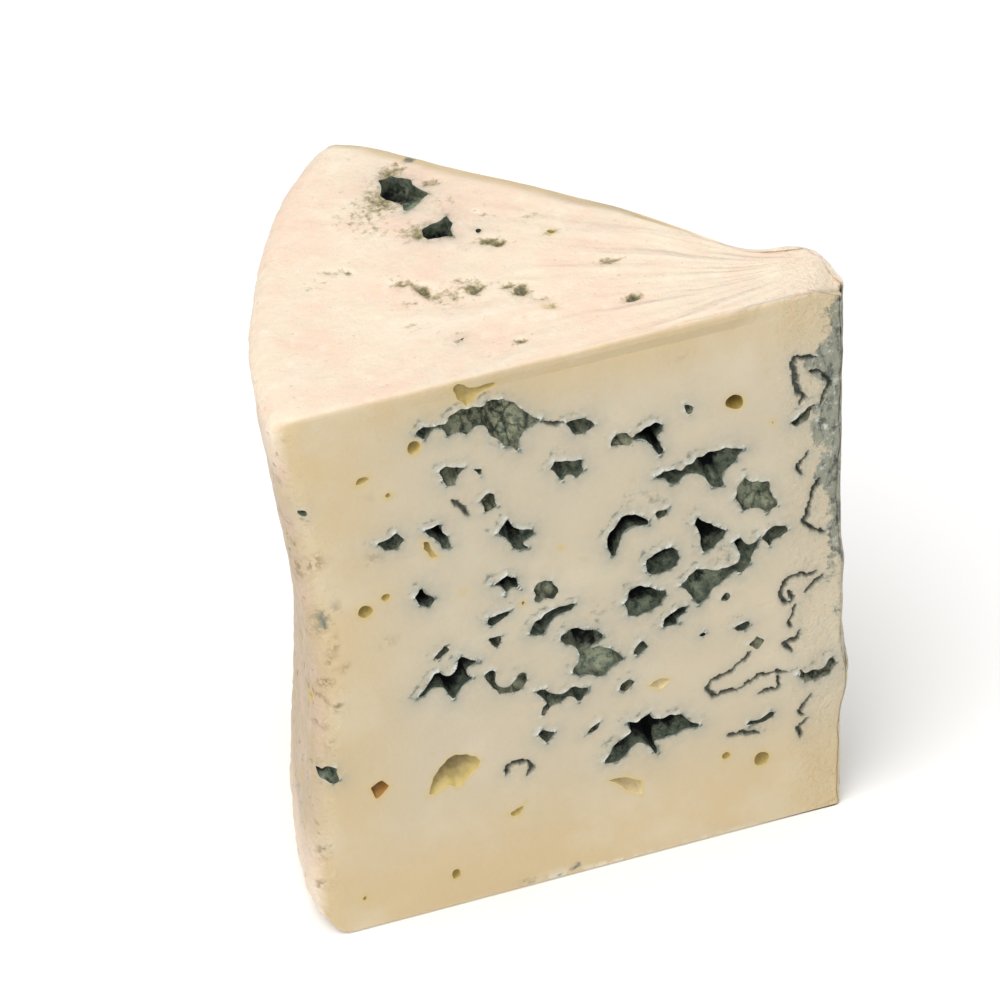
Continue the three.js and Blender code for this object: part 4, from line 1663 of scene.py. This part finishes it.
            # Pale crust on the upper-left rims of the cut faces, partly a painted highlight where the light
            # catches them.
            if item.opening.side in (Side.FRONT, Side.BACK):
                fringe_and_highlight[number] = 1.1 * size * max(facing, 0.0) * math.exp(-((away / (0.75 * MM)) ** 2))
            _, at, away = every.find(place)
            item = every_items[at]
            middle = item.placement.at(item.opening.outline[0])
            depth[number] = (place - middle).dot(item.placement.inward) / DEEPEST
            tone[number] = item.opening.tone
            if item.opening.lining is Lining.BARE:
                yellowed[number] = math.exp(-((away / (0.55 * MM)) ** 2))
        return {
            "haze": haze, "stain": stain, "fringe_and_highlight": fringe_and_highlight, "depth": depth, "tone": tone,
            "yellowed": yellowed, "rim_shadow": rim_shadow,
        }

    def note_surroundings(self, cracks: Cracks) -> None:
        """Writes what each vertex is near, for the finishes to read.

        Args:
            cracks: The cracks of the front face.
        """
        wedge = self.wedge
        rows = places(wedge.piece)
        reach, angle, height = wedge.polar(rows)
        notes = self.note_openings(rows)
        back, across = (wedge.tip.x - rows[:, 0]) / MM, (rows[:, 1] - wedge.tip.y) / MM
        on_top = smoothstep(wedge.height - 3 * MM, wedge.height - 1 * MM, height)
        on_front = smoothstep(8.0, 6.0, across)
        rusty = np.zeros(len(rows))
        for smear in TOP_SMEARS:
            notes["stain"] = np.maximum(notes["stain"], smear.at(back, across) * on_top)
        for smear in FRONT_SMEARS:
            notes["stain"] = np.maximum(notes["stain"], smear.at(back, height / MM) * on_front)
        # The foot's chips join the pale fringe, partly as a painted highlight.
        for chip in FOOT_CHIPS:
            notes["fringe_and_highlight"] = np.maximum(notes["fringe_and_highlight"], chip.at(back, height / MM) * on_front)
        for mark in RUST_MARKS:
            rusty = np.maximum(rusty, mark.at(back, height / MM) * on_front)
        strip_reach = np.interp(height / MM, STRIP_HEIGHTS, STRIP_REACHES) * MM
        strip_reach += 3.6 * MM * rough(rows, 7 * MM, 31.0) + 1.4 * MM * rough(rows, 2.4 * MM, 33.0)
        crack = cracks.share(rows)
        rind = smoothstep(6 * MM, 2 * MM, wedge.rind_reach(angle, height) - reach) * (1.0 - on_top)
        notes |= {
            "haze": np.maximum(notes["haze"], cracks.haze(rows)),
            "rusty": rusty,
            "crack": crack,
            "strip": smoothstep(strip_reach + 1.6 * MM, strip_reach - 1.2 * MM, reach) * (1.0 - on_top)
            * np.interp(height / MM, STRIP_HEIGHTS, STRIP_STRENGTHS),
            "warmth": np.maximum(
                smoothstep(wedge.height - 14 * MM, wedge.height, height),
                np.maximum(smoothstep(72 * MM, 92 * MM, reach), smoothstep(30 * MM, 4 * MM, height)),
            ),
            "skin": wedge.skin_share(rows),
            "crown": np.exp((height - wedge.height) / (5 * MM)) * (1.0 - on_top),
            "rind": rind,
            "craggy": np.maximum(rind * 0.8, smoothstep(18 * MM, 11 * MM, reach)),
            # Tan band of the rind, fading out only above about 82 mm: partly the rind's own colour, partly
            # painted shade on the upper rind.
            "waist": smoothstep(6 * MM, 26 * MM, height) * smoothstep(103 * MM, 82 * MM, height)
            * (1.0 - on_top),
            "ridged": on_top * smoothstep(86 * MM, 45 * MM, reach) * smoothstep(9 * MM, 24 * MM, reach),
        }
        for name, values in notes.items():
            layer = wedge.piece.data.attributes.new(name, "FLOAT", "POINT")
            layer.data.foreach_set("value", np.clip(values, 0.0, 1.0).astype(np.float32))

    def build(self) -> bpy.types.Object:
        """Models and dresses the wedge.

        Returns:
            The finished piece.
        """
        wedge = self.wedge
        wedge.sweep()
        LOG.info("swept block: %d faces", len(wedge.piece.data.polygons))
        wedge.shape_rind()
        wedge.wear_tip()
        wedge.soften_cut_edges()
        self.draw_openings()
        cracks = Cracks(wedge.tip, FRONT_CRACKS, CRACK_HALF_WIDTH)
        hidden, _ = self.outline_points(tuple(Lining), HIDDEN)
        shown, _ = self.outline_points(tuple(Lining), SHOWN)
        wedge.refine_near(tree_of(hidden), (1.6 * MM,))
        top = wedge.placement(Side.TOP)
        dents = [top.at(spot) for dent in TOP_DENTS for spot in dent.spots()]
        wedge.refine_near(tree_of(shown + cracks.places() + dents), (1.8 * MM, 0.8 * MM, 0.35 * MM))
        piece = wedge.piece
        piece.data.materials.append(CheeseSurface(wedge.fan_focus).material())
        wedge.roughen(cracks)
        LOG.info("block with fine cells: %d faces", len(piece.data.polygons))
        self.open_up({Lining.MOULD: MouldLining().material(), Lining.BARE: BareLining().material()})
        self.note_surroundings(cracks)
        make_active(piece)
        bpy.ops.object.shade_smooth_by_angle(angle=math.radians(48.0))
        triangles = sum(len(face.vertices) - 2 for face in piece.data.polygons)
        LOG.info("finished wedge: %d triangles", triangles)
        return piece


def main() -> None:
    """Builds the wedge and the studio, and says which piece rides on which body."""
    logging.basicConfig(level=logging.INFO, format="%(message)s")
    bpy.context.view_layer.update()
    low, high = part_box(CAD_NODE)
    piece = BlueCheese(Wedge(low, high)).build()
    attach(piece, "root")
    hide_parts(CAD_NODE)
    LOG.info("%s rides on root and stands for %s", piece.name, CAD_NODE)
    Studio(middle=(low + high) / 2).build()


if __name__ == "__main__":
    main()
